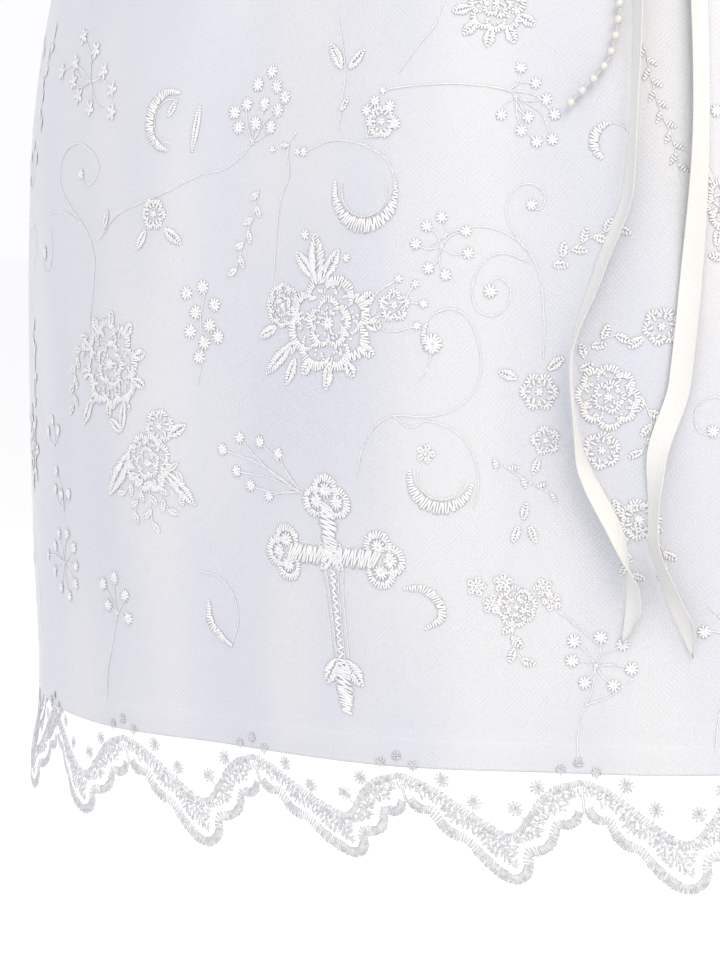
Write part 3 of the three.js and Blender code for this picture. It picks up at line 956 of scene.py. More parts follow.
    def rose(self, at: tuple[float, float], radius: float, turn: float = 0.0) -> None:
        """Sews a full rose: rings of petals rimmed with short bars, and loose stitches between them."""
        for count, share, size, wide in ((8, 0.6, 0.36, 0.24), (5, 0.27, 0.23, 0.17)):
            for k in range(count):
                way = turn + 360 * (k + self.draw.uniform(-0.12, 0.12)) / count
                grown = size * self.draw.uniform(0.88, 1.12)
                rim = arc(at + radius * share * heading(way), radius * grown, way - 95, way + 95)
                self.satin(rim, (1.2, radius * wide, radius * wide, 1.2), 8)
        count = int(radius**2 * 0.16)
        way, far = self.draw.uniform(0, 360, count), radius * np.sqrt(self.draw.uniform(0.02, 0.62, count))
        turned = np.radians(way)
        places = np.column_stack([at[0] + far * np.cos(turned), at[1] + far * np.sin(turned)])
        self.put(places, way, 2.2, 0.22, 40)
        self.dot(at, max(radius * 0.14, 1.2), turn)

    def spray(self, foot: tuple[float, float], tips: Path, radius: float, bend: float = 0.15) -> None:
        """Sews a spray: curved stems from one foot, each with a berry or bud at its tip.

        Args:
            foot: where the stems meet.
            tips: the buds' places.
            radius: the radius of a bud.
            bend: how far the stems bow, as a share of their length.
        """
        for k, tip in enumerate(tips):
            run = np.array(tip) - foot
            side = np.array([-run[1], run[0]]) * bend * (1 if k % 2 else -1)
            middle = tuple((np.array(foot) + tip) / 2 + side)
            self.stem([foot, middle, tip])
            self.dot(tip, radius, 40 + 50 * k)

    def leaves(self, points: Path, long: float, wide: float, gap: float = 7.0) -> None:
        """Sews a leafy trail: a stem with small leaves on alternate sides."""
        self.stem(points)
        marks = curve(points, gap)
        run = np.gradient(marks, axis=0)
        for k, (mark, way) in enumerate(zip(marks, bearing(run))):
            self.petal(mark, way + (42 if k % 2 else -42), long, wide)

    def stitches(self) -> Array:
        """Gives all the stitches made so far."""
        return np.vstack(self.rows)


class OverlayDesign:
    """The overlay's embroidery for one repeat, in mm across from the centre front and up from the hem."""

    def __init__(self) -> None:
        """Draws every motif of the repeat."""
        self.needle = Needle(seed=11)
        self.scrolls()
        self.cross((-137.5, 78), 109, 76, 6.2)
        self.roses()
        self.sprays()
        self.hem_sprays()
        self.edges()

    def crescent(self, centre: tuple[float, float], radius: float, start: float, end: float,
                 fat: float) -> None:
        """Sews a crescent of satin stitch that swells in the middle."""
        grown = radius + fat * 0.3
        self.needle.satin(arc(centre, grown, start, end), (1.6, fat * 0.75, fat, fat, fat * 0.75, 1.6), 6)
        self.needle.stem(arc(centre, radius - fat * 0.3, start, end))

    def scrolls(self) -> None:
        """Sews the long scrolling stems with their spirals and crescents."""
        n = self.needle
        n.stem([(-298, 196), (-295, 213), (-294, 228), (-299, 238), (-308, 246), (-320, 253), (-333, 263),
                (-334, 273), (-326, 281), (-313, 284), (-300, 280), (-292, 273), (-296, 266),
                (-304, 264), (-309, 268)])
        n.dot((-310, 269), 2.4)
        n.stem([(-307, 245), (-327, 250), (-347, 249)])
        n.stem(arc((-355, 229), 13, 60, -160, 0.6))
        n.dot((-357, 229), 3.2)
        n.stem([(-289, 238), (-276, 249), (-260, 255), (-241, 261), (-222, 269), (-206, 273),
                (-196, 279), (-190, 285)])
        n.stem([(-174, 224), (-173, 240), (-171, 258), (-166, 270), (-167, 283), (-163, 289)])
        n.petal((-172, 284), 0, 5, 3)
        n.dot((-177, 282), 1.6)
        n.dot((-161, 281), 1.6)
        n.stem([(-157, 281), (-142, 286), (-130, 286), (-119, 283), (-110, 277), (-106, 268)])
        n.dot((-157, 281), 2.0)
        self.crescent((-122, 264), 14, 168, 372, 7)
        n.stem([(-114, 309), (-100, 311), (-82, 312), (-66, 311), (-55, 309)])
        n.dot((-114, 309), 1.6)
        n.stem([(-106, 318), (-97, 330), (-90, 339), (-86, 352)])
        n.stem([(-38, 190), (-38, 208), (-40, 226), (-46, 238), (-55, 245), (-66, 248), (-78, 246),
                (-88, 240)])
        n.stem([(-47, 238), (-54, 250), (-55, 259), (-50, 266), (-43, 267), (-38, 262), (-40, 256),
                (-45, 257)])
        n.dot((-44, 258), 2.3)
        n.stem([(-44, 232), (-56, 236), (-65, 232), (-70, 221), (-68, 211), (-61, 208), (-55, 212),
                (-53, 220),
                (-58, 225), (-63, 222)])
        n.dot((-62, 219), 2.8)
        n.satin(arc((-8, 286), 8.5, 100, 235), (1.6, 4, 5, 4, 2.4), 6)
        n.stem(arc((-8, 286), 8.5, 100, 20))
        n.stem([(-95, 178), (-90, 184), (-88, 192)])
        n.dot((-88, 195), 4.2, 20)
        n.satin(arc((-84, 200), 8.5, 250, 150, 0.9), (4.0, 3.0, 1.6), 6)
        n.stem([(-92, 202), (-88, 208), (-79, 211), (-71, 206), (-67, 195), (-66, 184), (-69, 174),
                (-77, 166),
                (-90, 162), (-106, 162), (-116, 156), (-122, 146), (-125, 134)])
        n.stem([(-106, 162), (-98, 157), (-90, 160), (-80, 157), (-72, 150), (-68, 140), (-67, 130),
                (-69, 122)])
        self.crescent((-84, 135), 12.6, 172, 345, 6.5)
        n.flower((-91, 145), 4.5, 5)

    def cross(self, centre: tuple[float, float], tall: float, wide: float, tilt: float) -> None:
        """Sews a budded cross with an openwork shaft.

        Args:
            centre: the middle of its outline, in mm.
            tall: its height.
            wide: its width.
            tilt: how far its shaft leans, in degrees.
        """
        flat = Needle(seed=23)
        crossing = tall * 0.16
        middle = np.array((0, crossing))
        for way, reach in ((90, tall / 2 - crossing), (0, wide / 2), (180, wide / 2)):
            out, end = heading(way), reach - 12.5
            for turn in (-86, 86, 0):
                bud = middle + end * out + 5.8 * heading(way + turn)
                flat.satin(arc(bud, 5.9, way + turn - 128, way + turn + 128), (1.8, 3.9, 4.2, 3.9, 1.8), 6)
                flat.dot(bud, 3.2, 30)
            flat.stem([middle + 4 * out, middle + end * out])
            flat.satin([middle + 3 * out, middle + (end - 1) * out], (9, 10, 11), 20)
        foot = -tall / 2
        for side in (-1, 1):
            flat.stem([(side * 6.4, crossing - 6), (side * 5.0, 0), (side * 4.4, foot + 26)])
            flat.stem([(side * 3.6, crossing - 4), (side * 2.6, 0), (side * 2.2, foot + 24)])
            flat.petal((side * 2.5, foot + 24), -90 + side * 34, 14, 8)
        rungs = np.arange(foot + 26, crossing - 6, 3.4)
        flat.put(np.column_stack([np.zeros(len(rungs)), rungs]), 34, 4.2)
        flat.put(np.column_stack([np.zeros(len(rungs)), rungs + 1.7]), -34, 4.2)
        flat.satin([(0, foot + 24), (0, foot + 12), (0, foot)], (6, 11, 6), 18)
        for k in range(4):
            flat.petal((0, crossing), 45 + 90 * k, 8.5, 5.5)
        flat.dot((0, crossing), 3)
        rows = flat.stitches()
        turn = math.radians(tilt)
        x, y = rows[:, 0].copy(), rows[:, 1].copy()
        rows[:, 0] = centre[0] + x - y * math.sin(turn)
        rows[:, 1] = centre[1] + y
        self.needle.rows.append(rows)

    def roses(self) -> None:
        """Sews the large flowers with the leaves and buds round them."""
        n = self.needle
        n.rose((-141, 203), 22, 20)
        n.corolla((-141, 203), (21, 20), range(210, 400, 30), 8, 6.5)
        n.rose((-168, 210), 10, 40)
        n.petals((-163, 192, 222, 21, 7), (-160, 186, 245, 14, 6), (-172, 200, 205, 12, 5.5),
                 (-147, 222, 95, 22, 10), (-150, 224, 132, 15, 7), (-143, 224, 58, 15, 7))
        n.dot((-131, 233), 1.8)
        n.dot((-155, 243), 2.2)
        n.petal((-141, 181), 265, 9, 5)
        n.flower((-106, 212), 8, 5, 20)
        n.spray((-120, 205), [(-96, 222), (-92, 213), (-95, 203), (-104, 224)], 1.8)
        n.rose((-279, 178), 21, 10)
        n.corolla((-279, 178), (20, 18), range(15, 375, 36), 8, 6)
        n.leaves([(-300, 190), (-310, 180), (-314, 168), (-315, 156)], 7, 4, 5)
        n.petals((-296, 160, 235, 16, 7), (-268, 160, 262, 14, 6))
        n.flower((-244, 150), 9, 6, 15)
        n.petals((-264, 136, 232, 27, 10), (-240, 128, 318, 22, 7))
        n.rose((-252, 132), 14, 30)
        for way, far in ((200, 24), (225, 22), (250, 26), (275, 29), (300, 25), (325, 24), (350, 18)):
            middle, out = np.array((-252, 132)), heading(way)
            n.leaves([middle + 9 * out, middle + far * out], 6, 3.4, 6)
        n.petals((-270, 146, 150, 11, 6), (-238, 146, 30, 11, 6))
        n.rose((-9, 172), 14, 0)
        n.flower((-12, 148), 9, 6, 20)
        n.leaves([(-22, 184), (-16, 196), (-6, 200)], 7, 4, 6)
        n.leaves([(6, 172), (10, 160), (6, 148)], 7, 4, 6)
        n.flower((-40, 174), 9, 6, 0)
        n.petals((-50, 180, 160, 9, 5), (-36, 184, 40, 9, 5))
        n.flower((-37, 152), 7, 5, 30)
        n.petal((-40, 144), 250, 8, 4)
        n.flower((14, 204), 9, 6, 12)
        n.petals((22, 210, 30, 8, 5), (6, 199, 215, 8, 5))
        n.flower((5, 117), 10, 7, 0)
        n.leaves([(-6, 126), (4, 118), (14, 106), (17, 96)], 7, 4, 6)
        n.leaves([(0, 108), (-2, 100), (2, 92)], 6, 3.4, 6)

    def sprays(self) -> None:
        """Sews the sprays, fans and small leaves between the scrolls."""
        n = self.needle
        fan = [(-322, 336), (-307, 329), (-296, 319), (-286, 310), (-284, 299), (-306, 301), (-319, 307),
               (-327, 314), (-344, 319), (-327, 323)]
        for tip in fan:
            n.flower(tip, 4.2, 5, tip[0])
        n.spray((-308, 314), fan, 1.6)
        self.crescent((-238, 295), 12, 75, 265, 6)
        n.petals((-240, 297, 60, 9, 4), (-222, 302, 262, 22, 4))
        n.flower((-247, 251), 8, 6)
        n.petals((-252, 243, 235, 11, 5.5), (-240, 244, 325, 12, 6), (-286, 243, 70, 10, 5))
        berries = [(-199, 292), (-189, 294), (-179, 292), (-195, 303), (-184, 303), (-175, 300), (-189, 312),
                   (-177, 311), (-202, 299), (-171, 306), (-181, 318)]
        n.spray((-190, 285), berries[:6], 3.0, 0.08)
        for tip in berries[6:]:
            n.dot(tip, 3.0, tip[0])
        n.leaves([(-185, 262), (-188, 251), (-194, 238), (-198, 226)], 6, 3.4, 6)
        berries = [(-227, 214), (-218, 217), (-211, 209), (-222, 205), (-214, 199), (-225, 196), (-217, 191),
                   (-209, 194), (-220, 184)]
        for tip in berries:
            n.dot(tip, 3.1, tip[0] * 3)
        n.stem([(-216, 217), (-219, 202), (-218, 186), (-221, 172)])
        n.spray((-121, 288), [(-122, 300), (-110, 302), (-107, 294), (-118, 304)], 2.4)
        n.flower((-114, 295), 8, 6)
        n.stem([(-142, 342), (-138, 330), (-135, 317), (-136, 303), (-137, 292)])
        n.petals((-137, 319, 125, 14, 6), (-133, 319, 48, 12, 5), (-136, 300, 60, 7, 3.4))
        n.rose((-62, 348), 13, 0)
        n.corolla((-62, 348), (12, 11), (190, 225, 260, 295, 330), 9, 5.5)
        n.spray((-55, 309), [(-50, 319), (-43, 312), (-38, 305), (-34, 298)], 2.4)
        n.spray((-52, 306), [(-58, 298), (-49, 291), (-42, 286), (-35, 287), (-46, 297)], 2.4)
        tips = [(-91, 248), (-73, 246), (-72, 236), (-90, 229), (-82, 226), (-96, 240), (-84, 252)]
        n.spray((-84, 239), tips, 2.4)
        n.leaves([(-34, 231), (-26, 238), (-16, 244), (-6, 248)], 7, 4, 6)
        n.leaves([(6, 328), (9, 314), (13, 300), (18, 288), (21, 276)], 5.5, 3, 5)
        n.spray((-157, 124), [(-207, 141), (-196, 147), (-183, 146), (-171, 141), (-198, 131),
                              (-189, 125), (-177, 121)], 2.6, 0.05)
        n.leaves([(-60, 143), (-52, 138), (-44, 133), (-34, 128)], 5, 2.6, 7)
        n.petals((-47, 116, 80, 8, 4), (-49, 113, 250, 8, 4), (-44, 113, 290, 8, 4))

    def hem_sprays(self) -> None:
        """Sews the lowest motifs, above the border."""
        n = self.needle
        n.satin([(-101, 83), (-92, 83), (-85, 77), (-84, 70), (-91, 65)], (1.6, 4.2, 4.8, 4.2, 1.6), 8)
        tips = [(-68, 85), (-56, 87), (-38, 85), (-34, 79), (-61, 77)]
        for tip in tips:
            n.flower(tip, 4.6, 5, tip[0])
        n.rose((-50, 76), 9, 10)
        n.leaves([(-51, 68), (-52, 60), (-48, 52)], 7, 4.2, 5)
        n.stem([(-38, 80), (-30, 74), (-20, 66), (-13, 60)])
        n.spray((-14, 50), [(-24, 61), (-2, 60), (-25, 52), (2, 49), (-12, 63), (-19, 42),
                            (-6, 41)], 2.8, 0.08)
        n.stem([(-14, 50), (-16, 38), (-20, 28), (-22, 17), (-22, 8)])
        n.stem([(-18, 32), (-8, 36), (2, 44)])
        tips = [(-360, 77), (-345, 83), (-338, 90), (-326, 91), (-318, 85), (-316, 76), (-347, 70),
                (-337, 63),
                (-325, 60), (-317, 67)]
        n.spray((-331, 76), tips, 2.8, 0.06)
        n.spray((-330, 103), [(-340, 121), (-323, 111), (-333, 110), (-342, 112)], 2.6)
        n.spray((-342, 134), [(-345, 146), (-353, 140), (-336, 142)], 2.6)
        tips = [(-288, 70), (-278, 74), (-270, 66), (-268, 55), (-284, 60)]
        n.spray((-276, 57), tips, 3.0, 0.06)
        n.stem([(-276, 57), (-281, 42), (-286, 28), (-288, 14)])
        n.satin([(-217, 68), (-216, 58), (-209, 51), (-203, 48)], (1.6, 4.4, 4.4, 1.6), 8)
        n.stem([(-203, 48), (-198, 60), (-201, 72), (-210, 80), (-222, 82)])

    def edges(self) -> None:
        """Sews the sprays at the sides of the repeat, which join it to the next."""
        n = self.needle
        n.stem([(40, 12), (42, 30), (50, 48), (46, 66), (36, 78)])
        n.spray((46, 62), [(58, 70), (60, 58), (34, 66), (52, 78)], 2.8)
        n.stem([(48, 120), (56, 140), (52, 160), (40, 172), (30, 168), (30, 158), (38, 154)])
        n.dot((37, 157), 2.6)
        n.leaves([(44, 186), (52, 204), (48, 224), (38, 240)], 8, 4.4, 7)
        n.rose((46, 258), 13, 0)
        n.petals((36, 268, 130, 12, 6), (57, 266, 45, 12, 6))
        n.spray((48, 284), [(38, 300), (48, 306), (58, 300), (60, 290)], 2.6)
        n.stem([(-396, 30), (-392, 52), (-402, 74), (-418, 84), (-430, 76), (-426, 64), (-416, 66)])
        n.dot((-417, 68), 2.8)
        n.rose((-402, 128), 15, 0)
        n.corolla((-402, 128), (14, 14), range(0, 360, 45), 9, 6)
        n.leaves([(-392, 150), (-386, 168), (-390, 188)], 8, 4.4, 7)
        n.stem([(-400, 200), (-410, 216), (-406, 236), (-390, 242), (-380, 230), (-388, 222)])
        n.spray((-400, 262), [(-412, 276), (-400, 282), (-388, 276), (-416, 264)], 2.8)
        n.leaves([(-380, 290), (-386, 306), (-382, 322), (-372, 336)], 8, 4.4, 7)
        n.spray((-418, 318), [(-430, 330), (-418, 336), (-406, 330)], 2.8)

    def stitches(self) -> tuple[Array, Array]:
        """Gives the stitches' angles and heights, and their turn and sizes."""
        rows = self.needle.stitches()
        placed = np.column_stack([np.degrees(rows[:, 0] / ROUND), rows[:, 1]])
        return placed, rows[:, 2:]


class UpperDesign:
    """The plainer sprays between the repeat and the waist, each in a spot of its own."""

    SPOTS = ((-66, 395, 0), (-44, 405, 1), (-22, 392, 2), (0, 404, 0), (-77, 450, 1), (-55, 458, 2),
             (-33, 452, 0),
             (-11, 458, 1), (-64, 520, 2), (-40, 528, 0), (-16, 522, 1), (5, 526, 2), (-52, 582, 1),
             (-22, 584, 0),
             (-78, 584, 2), (6, 588, 1))

    def __init__(self) -> None:
        """Draws the three kinds of spray."""
        self.kinds = [self._rose_spray(), self._scroll_spray(), self._berry_spray()]

    def _rose_spray(self) -> Array:
        """Draws a rose with leaves."""
        n = Needle(seed=31)
        n.rose((0, 6), 12, 10)
        n.corolla((0, 6), (11, 11), (60, 120, 200, 340), 10, 6)
        n.leaves([(0, -8), (2, -20), (-2, -32)], 7, 4, 6)
        return n.stitches()

    def _scroll_spray(self) -> Array:
        """Draws a scroll that ends in a spiral."""
        n = Needle(seed=32)
        n.stem([(-20, -30), (-14, -14), (0, -6), (14, 2), (18, 16), (8, 24), (-2, 18), (2, 8), (9, 10)])
        n.dot((7, 12), 2.6)
        n.spray((-14, -14), [(-26, -6), (-24, 6), (-14, 8)], 2.6)
        return n.stitches()

    def _berry_spray(self) -> Array:
        """Draws a fan of berries."""
        n = Needle(seed=33)
        n.spray((0, -22), [(-18, 4), (-10, 12), (0, 16), (10, 12), (18, 4), (-7, 0), (7, 0)], 2.8, 0.06)
        n.petals((0, -22, 215, 11, 5), (0, -22, 325, 11, 5))
        return n.stitches()

    def stitches(self) -> tuple[Array, Array]:
        """Gives the stitches' angles and heights, and their turn and sizes."""
        height, length = SKIRT.arc_rows()
        placed, rest = [], []
        for angle, at, kind in self.SPOTS:
            rows = self.kinds[kind]
            up = np.interp(np.interp(at, height, length) + rows[:, 1], length, height)
            turned = angle + np.degrees(rows[:, 0] / SKIRT.radius(up))
            keep = up < SKIRT_LENGTH - 12
            placed.append(np.column_stack([turned, up])[keep])
            rest.append(rows[keep, 2:])
        return np.vstack(placed), np.vstack(rest)


@dataclass
class LaceBorder:
    """The scalloped border of the overlay, drawn for one scallop from join to join.

    Attributes:
        notches: where the lobes of the edge meet, in mm from the left join and from the satin hem.
        bulges: how far each lobe bows out.
        band: the width of the satin-stitched edge.
        channel: how far inside the edge the clear net ends.
        arch_rows: the inner arch, as places across and heights.
        dots: the round dots that stand on the arch.
        soft: how many steps of the edge are averaged, so that its lobes meet softly.
        rib: the distance between the ribs of the edge's band.
        high: how far the border's stitches stand off the net.
        filling: the spacing of the filling's stitches, across and up.
        scatter: how far they stray from it.
        below_arch: how far the filling stays under the arch.
        beside_join: how far it stays off the joins.
    """

    notches: tuple = ((0, -15.5), (10, -21), (23.5, -32.5), (44, -48.3), (55, -36), (70.5, -24),
                      (83.5, -15.5))
    bulges: tuple = (3.2, 3.8, 1.8, 5.6, 4.5, 4.0)
    band: float = 4.8
    channel: float = 7.4
    arch_rows: tuple = ((0, -2), (9, -5), (21, -12.5), (33, -20.5), (40, -24.5), (46, -26.5), (51, -24.5),
                        (55.5, -20), (61, -14), (65.5, -9.5), (72, -5.5), (83.5, -2))
    dots: tuple = ((20, -4.6), (33, -14.2), (51.5, -16), (63, -6.6))
    soft: int = 7
    rib: float = 1.12
    high: float = 0.7
    filling: tuple[float, float] = (1.62, 1.6)
    scatter: float = 0.55
    below_arch: float = 3.4
    beside_join: float = 1.6

    def outline(self) -> Array:
        """Draws the edge as one line of arcs."""
        parts = []
        for start, end, bulge in zip(self.notches, self.notches[1:], self.bulges):
            a, b = np.array(start, float), np.array(end, float)
            chord = np.linalg.norm(b - a)
            radius = (chord**2 / 4 + bulge**2) / (2 * bulge)
            out = np.array([b[1] - a[1], -(b[0] - a[0])]) / chord
            centre = (a + b) / 2 - out * (radius - bulge)
            first, last = [math.atan2(*(p - centre)[::-1]) for p in (a, b)]
            if last < first:
                last += 2 * math.pi
            turn = np.linspace(first, last, 72)
            parts.append(centre + radius * np.column_stack([np.cos(turn), np.sin(turn)]))
        line = np.vstack(parts)
        turn = 2 * self.soft
        before, after = line[-turn:] - [SCALLOP_WIDE, 0], line[:turn] + [SCALLOP_WIDE, 0]
        long = np.vstack([before, line, after])
        share = np.ones(2 * self.soft + 1) / (2 * self.soft + 1)
        eased = np.column_stack([np.convolve(long[:, k], share, "same") for k in (0, 1)])
        return eased[turn:-turn]

    def edge(self, across: Array) -> Array:
        """Reads how low the edge hangs at places across the scallop."""
        line = self.outline()
        at = np.linspace(0, SCALLOP_WIDE, 168)
        low = [line[np.abs(line[:, 0] - x) < 0.9, 1].min() for x in at]
        return np.interp(across, at, low)

    def arch_line(self, across: Array) -> Array:
        """Reads the height of the inner arch at places across the scallop."""
        return between(self.arch_rows, across)

    def stitches(self) -> tuple[Array, Array]:
        """Draws one scallop and gives its stitches' places in mm, and their turn and sizes."""
        n = Needle(seed=5, thread=1.0)
        line = self.outline()
        marks = curve(line[::9], self.rib)
        run = unit(np.gradient(marks, axis=0))
        padded = np.pad(run, ((3, 3), (0, 0)), "edge")
        eased = np.column_stack([np.convolve(padded[:, k], np.ones(7) / 7, "valid") for k in (0, 1)])
        inward = unit(np.column_stack([-eased[:, 1], eased[:, 0]]))
        n.put(marks + inward * self.band / 2, bearing(inward) + 8, self.band, self.high, 5)
        step, rise = self.filling
        x, y = np.meshgrid(np.arange(0.4, SCALLOP_WIDE, step), np.arange(-46, 4, rise), indexing="ij")
        stray = n.draw.uniform(-self.scatter, self.scatter, (x.size, 2))
        spots = np.column_stack([x.ravel(), y.ravel()]) + stray
        gaps = np.linalg.norm(spots[:, None] - line[None, ::6], axis=-1)
        nearest = line[::6][gaps.argmin(axis=1)]
        across, up = spots.T
        inside = (up > self.edge(across)) & (up < self.arch_line(across) - self.below_arch)
        off_join = (across > self.beside_join) & (across < SCALLOP_WIDE - self.beside_join)
        keep = inside & off_join & (gaps.min(axis=1) > self.channel)
        n.put(spots[keep], bearing(spots[keep] - nearest[keep]) + 20, 2.3, 0.72, 34)
        u = np.linspace(0.5, SCALLOP_WIDE - 0.5, 36)
        n.satin(list(zip(u, self.arch_line(u) - 1.8)), (3.2, 3.8, 3.8, 3.8, 3.2), 10, self.high)
        for top in self.dots:
            shore = list(zip(u, self.arch_line(u)))
            foot = min(shore, key=lambda p: math.dist(p, top))
            n.stem([foot, top])
            n.dot(top, 3.0, 30)
        for at in (0.5, SCALLOP_WIDE - 0.5):
            n.stem([(at, -16), (at, -4)])
        for spot in ((6.5, 0.8), (SCALLOP_WIDE - 9.5, 1.6), (SCALLOP_WIDE - 1.5, 5.0)):
            n.dot(spot, 2.2, 20)
        rows = n.stitches()
        return rows[:, :2], rows[:, 2:]


@dataclass
class SatinSkirt:
    """The two satin panels, which meet in side seams and are gathered at the waist.

    Attributes:
        cloth: the cloth's thickness, in mm.
        hem: the height of the turned hem.
        turned: how much prouder the turned hem lies.
    """

    cloth: float = 0.6
    hem: float = HEM_WIDE
    turned: float = HEM_TURNED
    columns: int = 200

    def heights(self) -> Array:
        """Lists the rows' heights, closer at the hem and the waist."""
        low = [0, 1.2, 6, self.hem - 0.8, self.hem + 0.2, self.hem + 1.2]
        return np.concatenate([low, np.linspace(20, 400, 38), np.linspace(410, SKIRT_LENGTH - SEAM, 32)])

    def build(self) -> None:
        """Makes both panels."""
        half = 90 - math.degrees(SEAM / 2 / 300)
        for side, middle in (("front", 0.0), ("back", 180.0)):
            angles = middle + SCALLOP_TURN + np.linspace(-half, half, self.columns)
            a, h = np.meshgrid(angles, self.heights())
            proud = self.turned * smooth(self.hem + 1, self.hem - 0.5, h)
            points = SKIRT.lie(a, h, proud - self.turned, loose=False)[0]
            panel = cloth(f"satin_panel_{side}", points, SKIRT.flat(a - middle, h), Finish.SATIN, self.cloth,
                          "satin", f"skirt_{side}")


@dataclass
class NetOverlay:
    """The net overlay with its border and embroidery.

    Attributes:
        net: the net's thickness, in mm.
        proud: how far the stitches' feet stand off it.
        under_edge: how far the net stops inside the border's edge.
        columns: columns of net in a scallop.
    """

    net: float = 0.18
    proud: float = 0.05
    under_edge: float = 2.0
    columns: int = 18
    border: LaceBorder = field(default_factory=LaceBorder)

    def net_panel(self, side: str, middle: float) -> None:
        """Makes one panel of net, down to its scalloped edge."""
        count = SCALLOPS // 2 * self.columns
        angles = middle + SCALLOP_TURN + np.linspace(-90, 90, count + 1)
        across = np.mod(np.arange(count + 1) / self.columns, 1) * SCALLOP_WIDE
        low = self.border.edge(across) + self.under_edge
        upper = np.concatenate([np.linspace(20, 400, 36), np.linspace(410, SKIRT_LENGTH - 3, 28)])
        shares = np.array([1, 0.86, 0.7, 0.5, 0.3, 0.12, 0])
        h = np.vstack([shares[:, None] * low[None, :], np.repeat(upper[:, None], count + 1, axis=1)])
        a = np.repeat(angles[None, :], len(h), axis=0)
        points = SKIRT.lie(a, h, SKIRT.net_top(h))[0]
        panel = cloth(f"net_panel_{side}", points, SKIRT.flat(a - middle, h, 0.06), Finish.NET, self.net,
                      "net", f"overlay_{side}")

    def sewn(self, tree: StitchTree, name: str, placed: Array, rest: Array,
             finish: Finish = Finish.THREAD) -> None:
        """Sews stitches on the net.

        Args:
            tree: the stitch tree.
            name: the piece's name.
            placed: angles and heights.
            rest: turn, length, width and height of each stitch.
            finish: the thread.
        """
        angle, height = placed.T
        place, east, north, out = SKIRT.lie(angle, height, SKIRT.net_top(height) + self.proud)
        turn = np.radians(rest[:, 0])[:, None]
        along = east * np.cos(turn) + north * np.sin(turn)
        piece = tree.sew(name, place, along, out, rest[:, 1:4], finish)
        wear(piece, "net")

    def build(self, tree: StitchTree) -> None:
        """Makes the net, the border and the embroidery."""
        for side, middle in (("front", 0.0), ("back", 180.0)):
            self.net_panel(side, middle)
        spots, rest = self.border.stitches()
        turn = 360 / SCALLOPS
        for side, first in (("front", -6), ("back", 6)):
            joins = SCALLOP_TURN + turn * np.arange(first, first + SCALLOPS // 2)
            placed = np.vstack([spots * [turn / SCALLOP_WIDE, 1] + [join, 0] for join in joins])
            self.sewn(tree, f"lace_border_{side}", placed, np.tile(rest, (len(joins), 1)), Finish.BORDER)
        designs = [OverlayDesign().stitches(), UpperDesign().stitches()]
        placed = np.vstack([d[0] for d in designs])
        rest = np.vstack([d[1] for d in designs])
        log.info("stitches in a repeat: %d", len(placed))
        for k, name in enumerate(("front_left", "front_right", "back_right", "back_left")):
            moved = placed + [REPEAT_TURN * k, 0]
            self.sewn(tree, f"embroidery_{name}", moved, rest)


@dataclass
class RibbonTail:
    """One satin ribbon tail that hangs from the bow and turns over on its way.

    Attributes:
        name: the piece's name.
        node: the CAD node that it stands for.
        route: height and distance across from the centre front.
        rolls: height and how many degrees the ribbon is rolled off the cloth.
        wide: its width in mm.
        point: the length of its slanted end.
    """

    name: str
    node: str
    route: tuple
    rolls: tuple
    wide: float = 10.0
    point: float = 16.0
    cloth: float = 0.4
    steps: int = 170

    def build(self) -> None:
        """Makes the ribbon."""
        top, end = self.route[0][0], self.route[-1][0]
        height = np.linspace(top, end, self.steps)
        across = between(self.route, height)
        run = unit(np.stack([np.gradient(across), np.gradient(height)], axis=-1))
        roll = np.radians(between(self.rolls, height))
        pinch = 0.36 + 0.64 * smooth(0, 0.14, (top - height) / (top - end))
        angle = np.degrees(across / SKIRT.radius(height))
        lift = NET_TOP + 1.4 + self.wide / 2 * pinch * np.abs(np.sin(roll))
        place, east, north, out = SKIRT.lie(angle, height, lift)
        side = -east * run[:, 1:2] + north * run[:, 0:1]
        turned = side * np.cos(roll)[:, None] + out * np.sin(roll)[:, None]
        proud = unit(np.cross(turned, east * run[:, 0:1] + north * run[:, 1:2]))
        far = lengths(place)
        shares = np.array([-1, -0.94, -0.5, 0, 0.5, 0.94, 1])
        cut = np.clip((far[-1] - far) / self.point, 0, 1)
        rows = []
        for share in shares:
            reach = np.minimum(share, 2 * cut - 1) if share > -1 else np.full(len(far), -1.0)
            cup = 0.7 * (1 - share**2)
            rows.append(place + turned * (reach * self.wide / 2 * pinch)[:, None] + proud * cup)
        points = np.stack(rows, axis=1)
        uv = np.stack(np.meshgrid(shares * self.wide / 2 * MM + 0.01, far * MM), axis=-1)
        piece = cloth(self.name, points, uv, Finish.RIBBON, self.cloth, "ribbon", self.node, offset=0)


